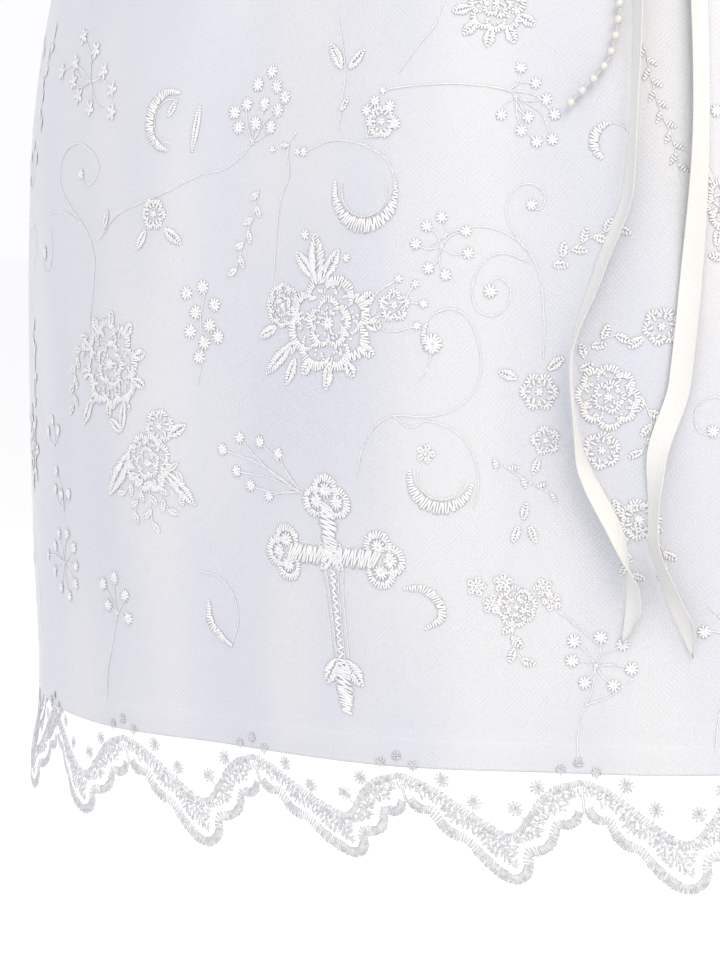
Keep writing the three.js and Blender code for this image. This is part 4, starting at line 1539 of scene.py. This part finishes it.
@dataclass
class PearlStrand:
    """A strand of lacquered pearls on a thread, which hangs beside the ribbons.

    Attributes:
        pearl: the diameter of a pearl, in mm.
        pitch: the distance between pearls.
        thread: the diameter of the thread.
    """

    pearl: float = 4.0
    pitch: float = 7.3
    thread: float = 0.7

    def route(self) -> tuple[Array, Array]:
        """Finds the strand's centreline and the way out of the cloth along it."""
        height = np.linspace(PEARL_ROWS[0][0], PEARL_ROWS[-1][0], 90)
        across = between(PEARL_ROWS, height)
        angle = np.degrees(across / SKIRT.radius(height))
        place, _, _, out = SKIRT.lie(angle, height, NET_TOP + 1.0 + self.pearl / 2)
        return place, out

    def build(self, tree: StitchTree) -> None:
        """Makes the pearls and their thread as one strand."""
        place, out = self.route()
        far = lengths(place)
        at = np.arange(far[-1] - self.pearl / 2, 0, -self.pitch)
        spots, stand, ways = (
            np.column_stack([np.interp(at, far, values[:, k]) for k in range(3)])
            for values in (place, out, np.gradient(place, axis=0))
        )
        ball = self._ball()
        size = np.full((len(spots), 3), self.pearl)
        pearls = tree.sew("pearls", spots, unit(ways), stand, size, Finish.PEARL, ball, 1.0)
        bpy.data.objects.remove(ball)
        thread = link("thread", tube("thread", place, self.thread / 2, 6), Finish.PEARL)
        strand = joined("strand_of_pearls", [pearls, thread])
        wear(strand, "pearl", "pearl_strand")

    def _ball(self) -> bpy.types.Object:
        """Makes the unit pearl, with small flats at its hole."""
        rings = np.linspace(0.12, math.pi - 0.12, 11)
        r, t = np.meshgrid(rings, circle(16), indexing="ij")
        points = np.stack([np.cos(r), np.sin(r) * np.cos(t), np.sin(r) * np.sin(t)], axis=-1) / 2
        return link("unit_pearl", capped("unit_pearl", points / MM))


def capped(name: str, rings: Array) -> bpy.types.Mesh:
    """Makes a closed body from rings of points, with a flat face at each end and its faces outwards."""
    mesh = grid_mesh(name, rings, ring=True)
    shape = bmesh_of(mesh)
    count = rings.shape[1]
    shape.verts.ensure_lookup_table()
    for ring in (range(count), range(len(shape.verts) - count, len(shape.verts))):
        shape.faces.new([shape.verts[i] for i in ring])
    return outward(shape, mesh)


def bmesh_of(mesh: bpy.types.Mesh) -> bmesh.types.BMesh:
    """Opens a mesh for editing."""
    shape = bmesh.new()
    shape.from_mesh(mesh)
    return shape


def outward(shape: bmesh.types.BMesh, mesh: bpy.types.Mesh) -> bpy.types.Mesh:
    """Turns a closed body's faces outwards and writes it back to its mesh."""
    bmesh.ops.recalc_face_normals(shape, faces=shape.faces)
    shape.to_mesh(mesh)
    shape.free()
    mesh.polygons.foreach_set("use_smooth", [True] * len(mesh.polygons))
    mesh.update()
    return mesh


def tube(name: str, path: Array, radius: float | Array, sides: int = 10) -> bpy.types.Mesh:
    """Makes a closed tube along a path.

    Args:
        name: the mesh's name.
        path: the points of its centreline, in mm.
        radius: its radius, or one for each point.
        sides: how many sides it has.

    Returns:
        The mesh, in metres.
    """
    run = unit(np.gradient(path, axis=0))
    side = unit(np.cross(run, np.array([0.3, 0.2, 1.0])))
    up = np.cross(side, run)
    turn = circle(sides)
    size = np.broadcast_to(radius, len(path))[:, None, None]
    ring = side[:, None] * np.cos(turn)[None, :, None] + up[:, None] * np.sin(turn)[None, :, None]
    return capped(name, path[:, None] + ring * size)


def joined(name: str, parts: list[bpy.types.Object]) -> bpy.types.Object:
    """Joins objects into one piece.

    Args:
        name: the piece's name.
        parts: the objects, with their finishes.

    Returns:
        The piece.
    """
    bpy.ops.object.select_all(action="DESELECT")
    for part in parts:
        part.select_set(True)
    bpy.context.view_layer.objects.active = parts[0]
    bpy.ops.object.join()
    parts[0].name = name
    parts[0].data.name = name
    return parts[0]


def bezier(start: Array, leave: Array, arrive: Array, end: Array, t: float) -> Array:
    """Reads a cubic curve between two ends."""
    return start * (1 - t)**3 + 3 * leave * t * (1 - t)**2 + 3 * arrive * t * t * (1 - t) + end * t**3

@dataclass
class BodicePattern:
    """The cut of the bodice, from the waist to the neck, shoulders and armholes."""

    chest_z: float = -95.0
    underarm_z: float = -88.0
    waist: tuple[float, float] = (86.0, 70.0)
    chest: tuple[float, float] = (92.0, 74.0)
    tip: tuple[float, float] = (76.0, -14.0)
    neck_x: float = 43.0
    front_neck: tuple[float, float] = (47.0, 36.0)
    back_neck: tuple[float, float] = (36.0, 12.0)
    bulge: float = 24.0
    tip_share: float = 0.62
    neck_share: float = 0.36
    split: float = 0.45
    straight: float = 0.38

    def torso(self, angle: float, z: float) -> Array:
        """Finds a place round the body at a height."""
        up = float(smooth(WAIST_Z, self.chest_z, z))
        wide = self.waist[0] + (self.chest[0] - self.waist[0]) * up
        deep = self.waist[1] + (self.chest[1] - self.waist[1]) * up
        turn = math.radians(angle)
        return np.array([wide * math.sin(turn), -deep * math.cos(turn), z])

    def top_edge(self, share: float, neck: tuple[float, float]) -> tuple[Array, Array]:
        """Finds a place on the top edge, and the way that the cloth runs up to it.

        Args:
            share: the share of the way from the centre to the side seam.
            neck: the neck's depth and drop.

        Returns:
            The place and the direction.
        """
        side = -1 if share < 0 else 1
        s = abs(share)
        gap = SEAM / 2 + 0.2
        over = np.array([0, 1, 0.06])
        if s >= self.tip_share:
            q = (1 - s) / (1 - self.tip_share)
            y = -gap * q - SEAM * 0.5 * (1 - q) - self.bulge * math.sin(math.pi * q)
            x = self.chest[0] - 1 - (self.chest[0] - 1 - self.tip[0]) * q * q
            z = self.underarm_z + (self.tip[1] - self.underarm_z) * q
            run = np.array([0, 0, 1.0]) * (1 - q * q) + over * q * q
        elif s >= self.neck_share:
            q = (self.tip_share - s) / (self.tip_share - self.neck_share)
            x = self.tip[0] + (self.neck_x - self.tip[0]) * q
            y, z, run = -gap, self.tip[1] * (1 - q), over
        else:
            turn = math.pi / 2 * (1 - s / self.neck_share)
            x = self.neck_x * math.cos(turn)
            y = -gap - neck[0] * math.sin(turn)
            z = -neck[1] * math.sin(turn) ** 1.5
            run = over * (1 - math.sin(turn)) + np.array([0, 0.3, 1]) * math.sin(turn)
        return np.array([side * x, y, z]), unit(run)

    def point(self, share: float, up: float, neck: tuple[float, float], back: bool) -> Array:
        """Finds a place on a panel, across from seam to seam and up from waist to edge."""
        angle = 90 * share
        if up <= self.split:
            place = self.torso(angle, WAIST_Z + (self.chest_z - WAIST_Z) * up / self.split)
        else:
            chest = self.torso(angle, self.chest_z)
            edge, run = self.top_edge(share, neck)
            reach = self.straight * np.linalg.norm(chest - edge)
            t = (up - self.split) / (1 - self.split)
            place = bezier(chest, chest + [0, 0, reach], edge - run * reach, edge, t)
        return place * [1, -1 if back else 1, 1]

    def armhole(self, turn: float) -> Array:
        """Finds a place on the armhole, once round from the underarm up the front."""
        share = turn % 1
        back = share > 0.5
        q = 2 - 2 * share if back else 2 * share
        place = self.top_edge(1 - (1 - self.tip_share) * q, self.front_neck)[0]
        if back:
            place[1] = -place[1]
        if share in (0, 0.5):
            place[1] = 0
        return place


PATTERN = BodicePattern()


@dataclass
class Bodice:
    """The front and the two backs of the bodice, with shallow creases where the cloth eases."""

    cloth: float = 0.9
    ease: float = 0.7

    def panel(self, name: str, node: str, shares: Array, neck: tuple[float, float], back: bool) -> None:
        """Makes one panel.

        Args:
            name: the piece's name.
            node: the CAD node that it stands for.
            shares: its columns.
            neck: the neck's depth and drop.
            back: whether it is at the back.
        """
        clear = 1 - SEAM / 2 / PATTERN.chest[1] / 1.5
        ups = np.concatenate([np.linspace(0, 0.45, 16), np.linspace(0.48, 1, 22)])
        points = np.array([
            [PATTERN.point(float(np.clip(s, -clear, clear)), float(u), neck, back) for s in shares]
            for u in ups
        ])
        s, u = np.meshgrid(shares, ups)
        waist = smooth(0.34, 0.0, u)
        chest = smooth(0, 0.3, u) * smooth(0.8, 0.4, u)
        creases = np.cos(s * 34 + 0.6) * waist * 0.5 + np.cos(s * 13 + u * 9) * chest
        inward = unit(points * [1, 1, 0])
        points = points - inward * (self.ease * (1 + creases) / 2 * smooth(1, 0.9, u))[..., None]
        piece = cloth(name, points, flat_uv(points), Finish.SATIN, self.cloth, "satin", node, flip=back)

    def build(self) -> None:
        """Makes the three panels."""
        panels = (("front", -1, 1, 81), ("back_right", 0.003, 1, 41), ("back_left", -1, -0.003, 41))
        for where, low, high, count in panels:
            back = where != "front"
            neck = PATTERN.back_neck if back else PATTERN.front_neck
            self.panel(f"bodice_cloth_{where}", f"bodice_{where}", np.linspace(low, high, count), neck, back)


@dataclass
class Sleeves:
    """The short puffed sleeves and their bands.

    Attributes:
        slope: how far the arm hangs below level, in degrees.
        length: from the armhole to the band, in mm.
        cuff: the band's radius.
        puff: how far the sleeve stands out.
        band: the band's width.
        gathers: how many gathers run round each end.
        depth: how deep they are.
        cloth: the cloth's thickness.
        leave: how far the cloth goes on outwards from the armhole before it bends.
        arrive: how far it runs straight into the band.
    """

    slope: float = 42.0
    length: float = 52.0
    cuff: float = 27.0
    puff: float = 15.0
    band: float = 8.0
    gathers: int = 26
    depth: float = 0.9
    cloth: float = 0.8
    leave: float = 18.0
    arrive: float = 10.0

    def __post_init__(self) -> None:
        """Works out the arm's direction and the middles of the armhole and the band."""
        turn = math.radians(self.slope)
        self.arm = np.array([math.cos(turn), 0, -math.sin(turn)])
        self.up = np.array([-self.arm[2], 0, self.arm[0]])
        tip_x, tip_z = PATTERN.tip
        self.hole = np.array([(tip_x + PATTERN.chest[0] - 1) / 2, 0, (PATTERN.underarm_z + tip_z) / 2])
        self.end = self.hole + self.arm * self.length

    def ring(self, turn: float, radius: float, along: float) -> Array:
        """Finds a place on the band's ring."""
        around = 2 * math.pi * turn
        return (self.end + self.arm * along - self.up * radius * math.cos(around)
                - np.array([0, radius * math.sin(around), 0]))

    def place(self, turn: float, along: float) -> Array:
        """Finds a place on the sleeve, from the armhole to the band."""
        hole = PATTERN.armhole(turn)
        out = unit((hole - self.hole) * [0, 1, 1])
        start = hole + [0.7, 0, 0]
        end = self.ring(turn, self.cuff, 0)
        out_end = unit(end - self.end)
        puff = self.puff * (0.3 + 0.7 * float(smooth(-1, 1, -math.cos(2 * math.pi * turn))))
        leave = start + [self.leave, 0, 0] + out * puff
        arrive = end - self.arm * self.arrive + out_end * puff
        place = bezier(start, leave, arrive, end, along)
        ease = smooth(0, 0.12, along) * smooth(1, 0.9, along)
        gathered = 1 - 0.75 * smooth(0.05, 0.4, along) * smooth(0.98, 0.6, along)
        wave = math.cos(2 * math.pi * self.gathers * turn) + 0.5 * math.cos(2 * math.pi * 17 * turn + 1)
        outwards = out * (1 - along) + out_end * along
        return place + outwards * (self.depth * wave - self.depth) * float(ease * gathered)

    def build(self) -> None:
        """Makes both sleeves and both bands."""
        turns = np.linspace(0, 1, 156, endpoint=False)
        for side, hand in (("right", 1), ("left", -1)):
            rows = [[self.place(float(t), float(a)) for t in turns] for a in np.linspace(0, 1, 26)]
            points = np.array(rows) * [hand, 1, 1]
            uv = flat_uv(closed(points))[:, :-1]
            piece = cloth(f"sleeve_cloth_{side}", points, uv, Finish.SATIN, self.cloth, "satin",
                          f"sleeve_{side}", ring=True, flip=hand < 0)
            self.cuff_band(side, hand)

    def cuff_band(self, side: str, hand: int) -> None:
        """Makes the folded band at the sleeve's end, with rounded edges."""
        turns = np.linspace(0, 1, 96, endpoint=False)
        profile = [(0.2, SEAM), (0.55, SEAM + 0.5), (0.6, 4), (0.55, self.band - 0.2),
                   (0.2, self.band + SEAM),
                   (-0.5, self.band + SEAM), (-0.9, self.band - 0.2), (-0.9, SEAM + 0.5), (-0.5, SEAM)]
        profile.append(profile[0])
        rings = [[self.ring(float(t), self.cuff + off, along) for t in turns] for off, along in profile]
        points = np.array(rings) * [hand, 1, 1]
        name = f"armband_{side}"
        mesh = grid_mesh(name, points[:-1], flat_uv(closed(points))[:-1, :-1], ring=True)
        shape = bmesh_of(mesh)
        shape.verts.ensure_lookup_table()
        count, last = len(turns), (len(profile) - 2) * len(turns)
        for j in range(count):
            k = (j + 1) % count
            shape.faces.new([shape.verts[i] for i in (last + j, last + k, k, j)])
        wear(link(name, outward(shape, mesh), Finish.SATIN), "satin", f"cuff_{side}")


@dataclass
class Trims:
    """The neck binding, the waist sash, the bow and the buttons.

    Attributes:
        tree: the stitch tree for the sewn lines.
        binding: the binding's thickness, in mm.
        sash_wide: the sash's width.
        sash_wall: the thickness of its folded wall.
        sash_clear: how far it stands off the bodice.
        loop: the length of a bow loop, and half its depth.
        droop: how far the loops hang, in degrees.
        knot: half the knot's width, depth and height.
        button: a button's radius and thickness.
        first: the height of the first button.
        pitch: the distance between buttons.
        count: how many buttons there are.
    """

    tree: StitchTree
    binding: float = 2.0
    sash_wide: float = 11.0
    sash_wall: float = 1.2
    sash_clear: float = 1.2
    loop: tuple[float, float] = (34.0, 5.5)
    droop: float = 2.0
    knot: tuple[float, float, float] = (5.9, 4.2, 5.3)
    button: tuple[float, float] = (4.0, 2.4)
    first: float = -38.0
    pitch: float = 38.0
    count: int = 3

    def neck_binding(self) -> None:
        """Makes the narrow rolled binding that follows the neck edge, open at the centre back."""

        def lifted(share: float, neck: tuple[float, float], back: bool) -> Array:
            point = PATTERN.top_edge(share, neck)[0]
            turn = math.pi / 2 * (1 - abs(share) / PATTERN.neck_share)
            side = math.copysign(1, share) if share else 0
            inward = unit(np.array([-side * math.cos(turn), 0.3 * math.sin(turn), math.sin(turn)]))
            place = point + inward * (self.binding + SEAM + 0.65)
            place[2] -= 0.75 * math.cos(turn)
            return place * [1, -1 if back else 1, 1]

        ends = PATTERN.neck_share * 0.99
        front = [lifted(s, PATTERN.front_neck, False) for s in np.linspace(-ends, ends, 49)]
        right = [lifted(s, PATTERN.back_neck, True) for s in np.linspace(ends, 0.012, 25)]
        left = [p * [-1, 1, 1] for p in right[::-1]]
        path = np.array([*left, *front, *right])
        keep = np.concatenate([[True], np.linalg.norm(np.diff(path, axis=0), axis=1) > 0.8])
        path = path[keep]
        ripple = 1.75 + 0.12 * np.cos(np.arange(len(path)) * 1.7)
        mesh = tube("rolled_binding", path, ripple, 14)
        wear(link("rolled_binding", mesh, Finish.SATIN), "satin", "neck_binding")

    def sash(self) -> None:
        """Makes the waist sash, a folded satin band with soft lengthwise creases."""
        low = WAIST_Z + 1
        turns = np.linspace(0, 360, 220, endpoint=False)
        shares = np.linspace(0, 1, 12)
        rows = []
        for share in shares:
            soft = 0.28 * math.cos(share * 3 * 2 * math.pi) + 0.2 * math.sin(math.pi * share)
            ring = [PATTERN.torso(float(t), low + self.sash_wide * share) for t in turns]
            away = unit(np.array(ring) * [1, 1, 0])
            wave = 0.12 * np.cos(np.radians(turns) * 9 + share * 5)
            proud = self.sash_clear + self.sash_wall - 0.3 + soft + wave
            rows.append(np.array(ring) + away * proud[:, None])
        points = np.array(rows)
        piece = cloth("satin_sash", points, flat_uv(closed(points))[:, :-1], Finish.RIBBON, 0.9, "ribbon",
                      "waist_sash", ring=True)

    def bow(self) -> None:
        """Makes the bow's two loops and its knot."""
        front = -PATTERN.waist[1] - self.sash_clear - self.sash_wall - 0.9
        middle = np.array([0, front, WAIST_Z + 1 + self.sash_wide / 2])
        for side, hand in (("left", -1), ("right", 1)):
            self._loop(side, hand, middle)
        self._knot(middle)

    def _loop(self, side: str, hand: int, middle: Array) -> None:
        """Makes one loop: a ribbon that leaves the knot, turns over and comes back."""
        far, half = self.loop
        rim = [(0.4, -0.7), (far * 0.3, -half * 0.75), (far * 0.6, -half), (far * 0.9, -half * 0.62)]
        outline = curve([*rim, (far, 0), *[(x, -y) for x, y in rim[::-1]]], 1.5)
        tall = 3.0 + 2.4 * np.sin(np.pi * np.linspace(0, 1, len(outline))) ** 0.6
        droop = math.radians(self.droop)
        rows = []
        for share in np.linspace(-1, 1, 9):
            crease = 0.35 * math.cos(share * 5) * (1 - np.clip(outline[:, 0] / far, 0, 1))
            x = 6.3 + outline[:, 0] * math.cos(droop)
            z = share * tall - outline[:, 0] * math.sin(droop) + 0.25 * np.sin(outline[:, 0] / 5)
            rows.append(np.column_stack([hand * x, outline[:, 1] + crease - half - 1.2, z]) + middle)
        points = np.stack(rows, axis=0)
        piece = cloth(f"bow_loop_cloth_{side}", points, flat_uv(points), Finish.RIBBON, 0.4, "ribbon",
                      f"bow_loop_{side}", offset=0, flip=hand < 0)

    def _knot(self, middle: Array) -> None:
        """Makes the knot: a wrapped band with soft pleats, closed at its sides."""
        wide, deep, tall = self.knot
        turns = circle(36)
        rows = []
        for share in np.linspace(-1, 1, 15):
            size = (1 - abs(share) ** 4 * 0.45)
            pleat = 1 + 0.035 * math.cos(share * 9)
            y = deep * size * pleat * np.cos(turns)
            z = tall * size * pleat * np.sin(turns)
            rows.append(np.column_stack([np.full(len(turns), wide * share), y, z]) + middle + [0, -3.4, 0])
        mesh = capped("bow_knot_cloth", np.array(rows))
        wear(link("bow_knot_cloth", mesh, Finish.RIBBON), "ribbon", "bow_knot")

    def buttons(self) -> None:
        """Makes the domed pearl buttons down the back."""
        radius, thick = self.button
        ups = np.linspace(0, 1, 201)
        centre = np.array([PATTERN.point(0.0, float(u), PATTERN.back_neck, True) for u in ups])
        profile = [(0.0, 0.0), (0.72, 0.0), (0.94, 0.12), (1.0, 0.3), (0.97, 0.46), (0.9, 0.5), (0.86, 0.56),
                   (0.7, 0.78), (0.45, 0.94), (0.18, 1.0), (0.0, 1.0)]
        turns = circle(28)
        for i in range(self.count):
            at = int(np.argmax(centre[:, 2] >= self.first - i * self.pitch))
            run = unit(centre[at + 1] - centre[at - 1])
            out = np.array([0, run[2], -run[1]])
            side = np.array([1.0, 0, 0])
            rows = [
                centre[at] + out * (SEAM + 0.15 + up * thick)
                + (side * np.cos(turns)[:, None] + run * np.sin(turns)[:, None]) * max(r, 0.02) * radius
                for r, up in profile
            ]
            name = f"pearl_button_{i + 1}"
            wear(link(name, capped(name, np.array(rows)), Finish.PEARL), "pearl", f"button_{i + 1}")

    def seam_stitches(self) -> None:
        """Sews the short straight stitches along the neck, armholes, closing edge and bands."""
        lines = []
        for share in np.linspace(-0.34, 0.34, 70):
            lines.append((float(share), 0.955, PATTERN.front_neck, False))
        for share in np.linspace(0.03, 0.34, 30):
            for hand in (-1, 1):
                lines.append((float(share) * hand, 0.955, PATTERN.back_neck, True))
        for up in np.linspace(0.03, 0.93, 74):
            for hand in (-1, 1):
                lines.append((0.03 * hand, float(up), PATTERN.back_neck, True))
        for share in np.linspace(0.66, 0.985, 26):
            for hand in (-1, 1):
                for neck, back in ((PATTERN.front_neck, False), (PATTERN.back_neck, True)):
                    lines.append((float(share) * hand, 0.965, neck, back))
        places, along, outs = [], [], []
        for share, up, neck, back in lines:
            d = 0.01
            here = PATTERN.point(share, up, neck, back)
            east = PATTERN.point(share + d, up, neck, back) - PATTERN.point(share - d, up, neck, back)
            above = PATTERN.point(share, min(1, up + d), neck, back)
            north = above - PATTERN.point(share, up - d, neck, back)
            out = unit(np.cross(east, north)) * (-1 if back else 1)
            places.append(here - out * 0.25)
            along.append(unit(north if abs(share) == 0.03 else east))
            outs.append(out)
        size = np.tile([2.0, 0.45, 0.35], (len(places), 1))
        piece = self.tree.sew("seam_stitches", np.array(places), np.array(along), np.array(outs), size)
        wear(piece, "satin")

    def build(self) -> None:
        """Makes all the trims."""
        self.neck_binding()
        self.sash()
        self.bow()
        self.buttons()
        self.seam_stitches()


@dataclass(frozen=True)
class Studio:
    """A pale floor, even white light all round, a warm key from the right and a cool fill from the left.

    Attributes:
        distance: from the camera to the gown's axis, in metres.
        eye: the camera's height above the satin hem, in mm.
        focal_px: the camera's focal length, in pixels of a picture 960 pixels high.
        look_left: how far the camera turns to the left, in degrees.
        look_down: how far it tips down.
        floor_z: the floor's height, in metres.
    """

    distance: float = 2.0
    eye: float = 299.4
    focal_px: float = 3736.0
    look_left: float = 4.13
    look_down: float = 5.63
    floor_z: float = -1.15

    def camera(self) -> None:
        """Makes the camera at the photograph's viewing angle."""
        data = bpy.data.cameras.new("camera")
        data.sensor_width = 36.0
        data.lens = self.focal_px * data.sensor_width / 960
        data.clip_end = 60.0
        camera = bpy.data.objects.new("camera", data)
        camera.location = (0, -self.distance, (HEM_Z + self.eye) * MM)
        camera.rotation_euler = (math.radians(90 - self.look_down), 0, math.radians(self.look_left))
        bpy.context.scene.collection.objects.link(camera)
        bpy.context.scene.camera = camera

    def light(self, name: str, place: tuple[float, float, float], watts: float, size: float,
              colour: str) -> None:
        """Adds a soft square light aimed at the skirt.

        Args:
            name: its name.
            place: where it stands, in metres.
            watts: its power.
            size: the length of its side.
            colour: its colour.
        """
        data = bpy.data.lights.new(name, "AREA")
        data.energy = watts
        data.size = size
        data.color = linear(colour)[:3]
        lamp = bpy.data.objects.new(name, data)
        lamp.location = place
        lamp.rotation_euler = (Vector((0, -0.1, -0.55)) - Vector(place)).to_track_quat("-Z", "Y").to_euler()
        bpy.context.scene.collection.objects.link(lamp)

    def floor(self) -> None:
        """Lays the plain pale floor."""
        half = 14.0
        mesh = bpy.data.meshes.new("floor")
        corners = [(x * half, y * half, self.floor_z) for x, y in ((-1, -1), (1, -1), (1, 1), (-1, 1))]
        mesh.from_pydata(corners, [], [(0, 1, 2, 3)])
        floor = link("floor", mesh)
        material, _, shader = new_material("pale_floor")
        shader.inputs["Base Color"].default_value = linear("#fbfbfb")
        shader.inputs["Roughness"].default_value = 0.9
        mesh.materials.append(material)

    def build(self) -> None:
        """Sets up the camera, floor, lights and world."""
        self.camera()
        self.floor()
        self.light("key", (1.1, -2.25, 1.7), 51, 1.7, "#fff3e6")
        self.light("fill", (-2.2, -1.8, 0.2), 2.8, 1.4, "#b8caff")
        self.light("rear", (0.4, 2.6, 1.0), 14, 1.6, "#f4f6ff")
        world = bpy.data.worlds.new("studio")
        world.use_nodes = True
        shade = world.node_tree.nodes["Background"]
        shade.inputs["Color"].default_value = linear("#fdfdff")
        shade.inputs["Strength"].default_value = 1.0
        bpy.context.scene.world = world
        bpy.context.scene.view_settings.view_transform = "Standard"


def main() -> None:
    """Builds the studio and the gown."""
    logging.basicConfig(level=logging.INFO, format="%(name)s %(message)s")
    Studio().build()
    tree = StitchTree()
    PearlStrand().build(tree)
    SatinSkirt().build()
    NetOverlay().build(tree)
    RibbonTail("ribbon_tail_inner", "ribbon_inner", INNER_RIBBON_ROWS, INNER_ROLL_ROWS).build()
    RibbonTail("ribbon_tail_outer", "ribbon_outer", OUTER_RIBBON_ROWS, OUTER_ROLL_ROWS).build()
    Bodice().build()
    Sleeves().build()
    Trims(tree).build()
    tree.put_away()


if __name__ == "__main__":
    main()
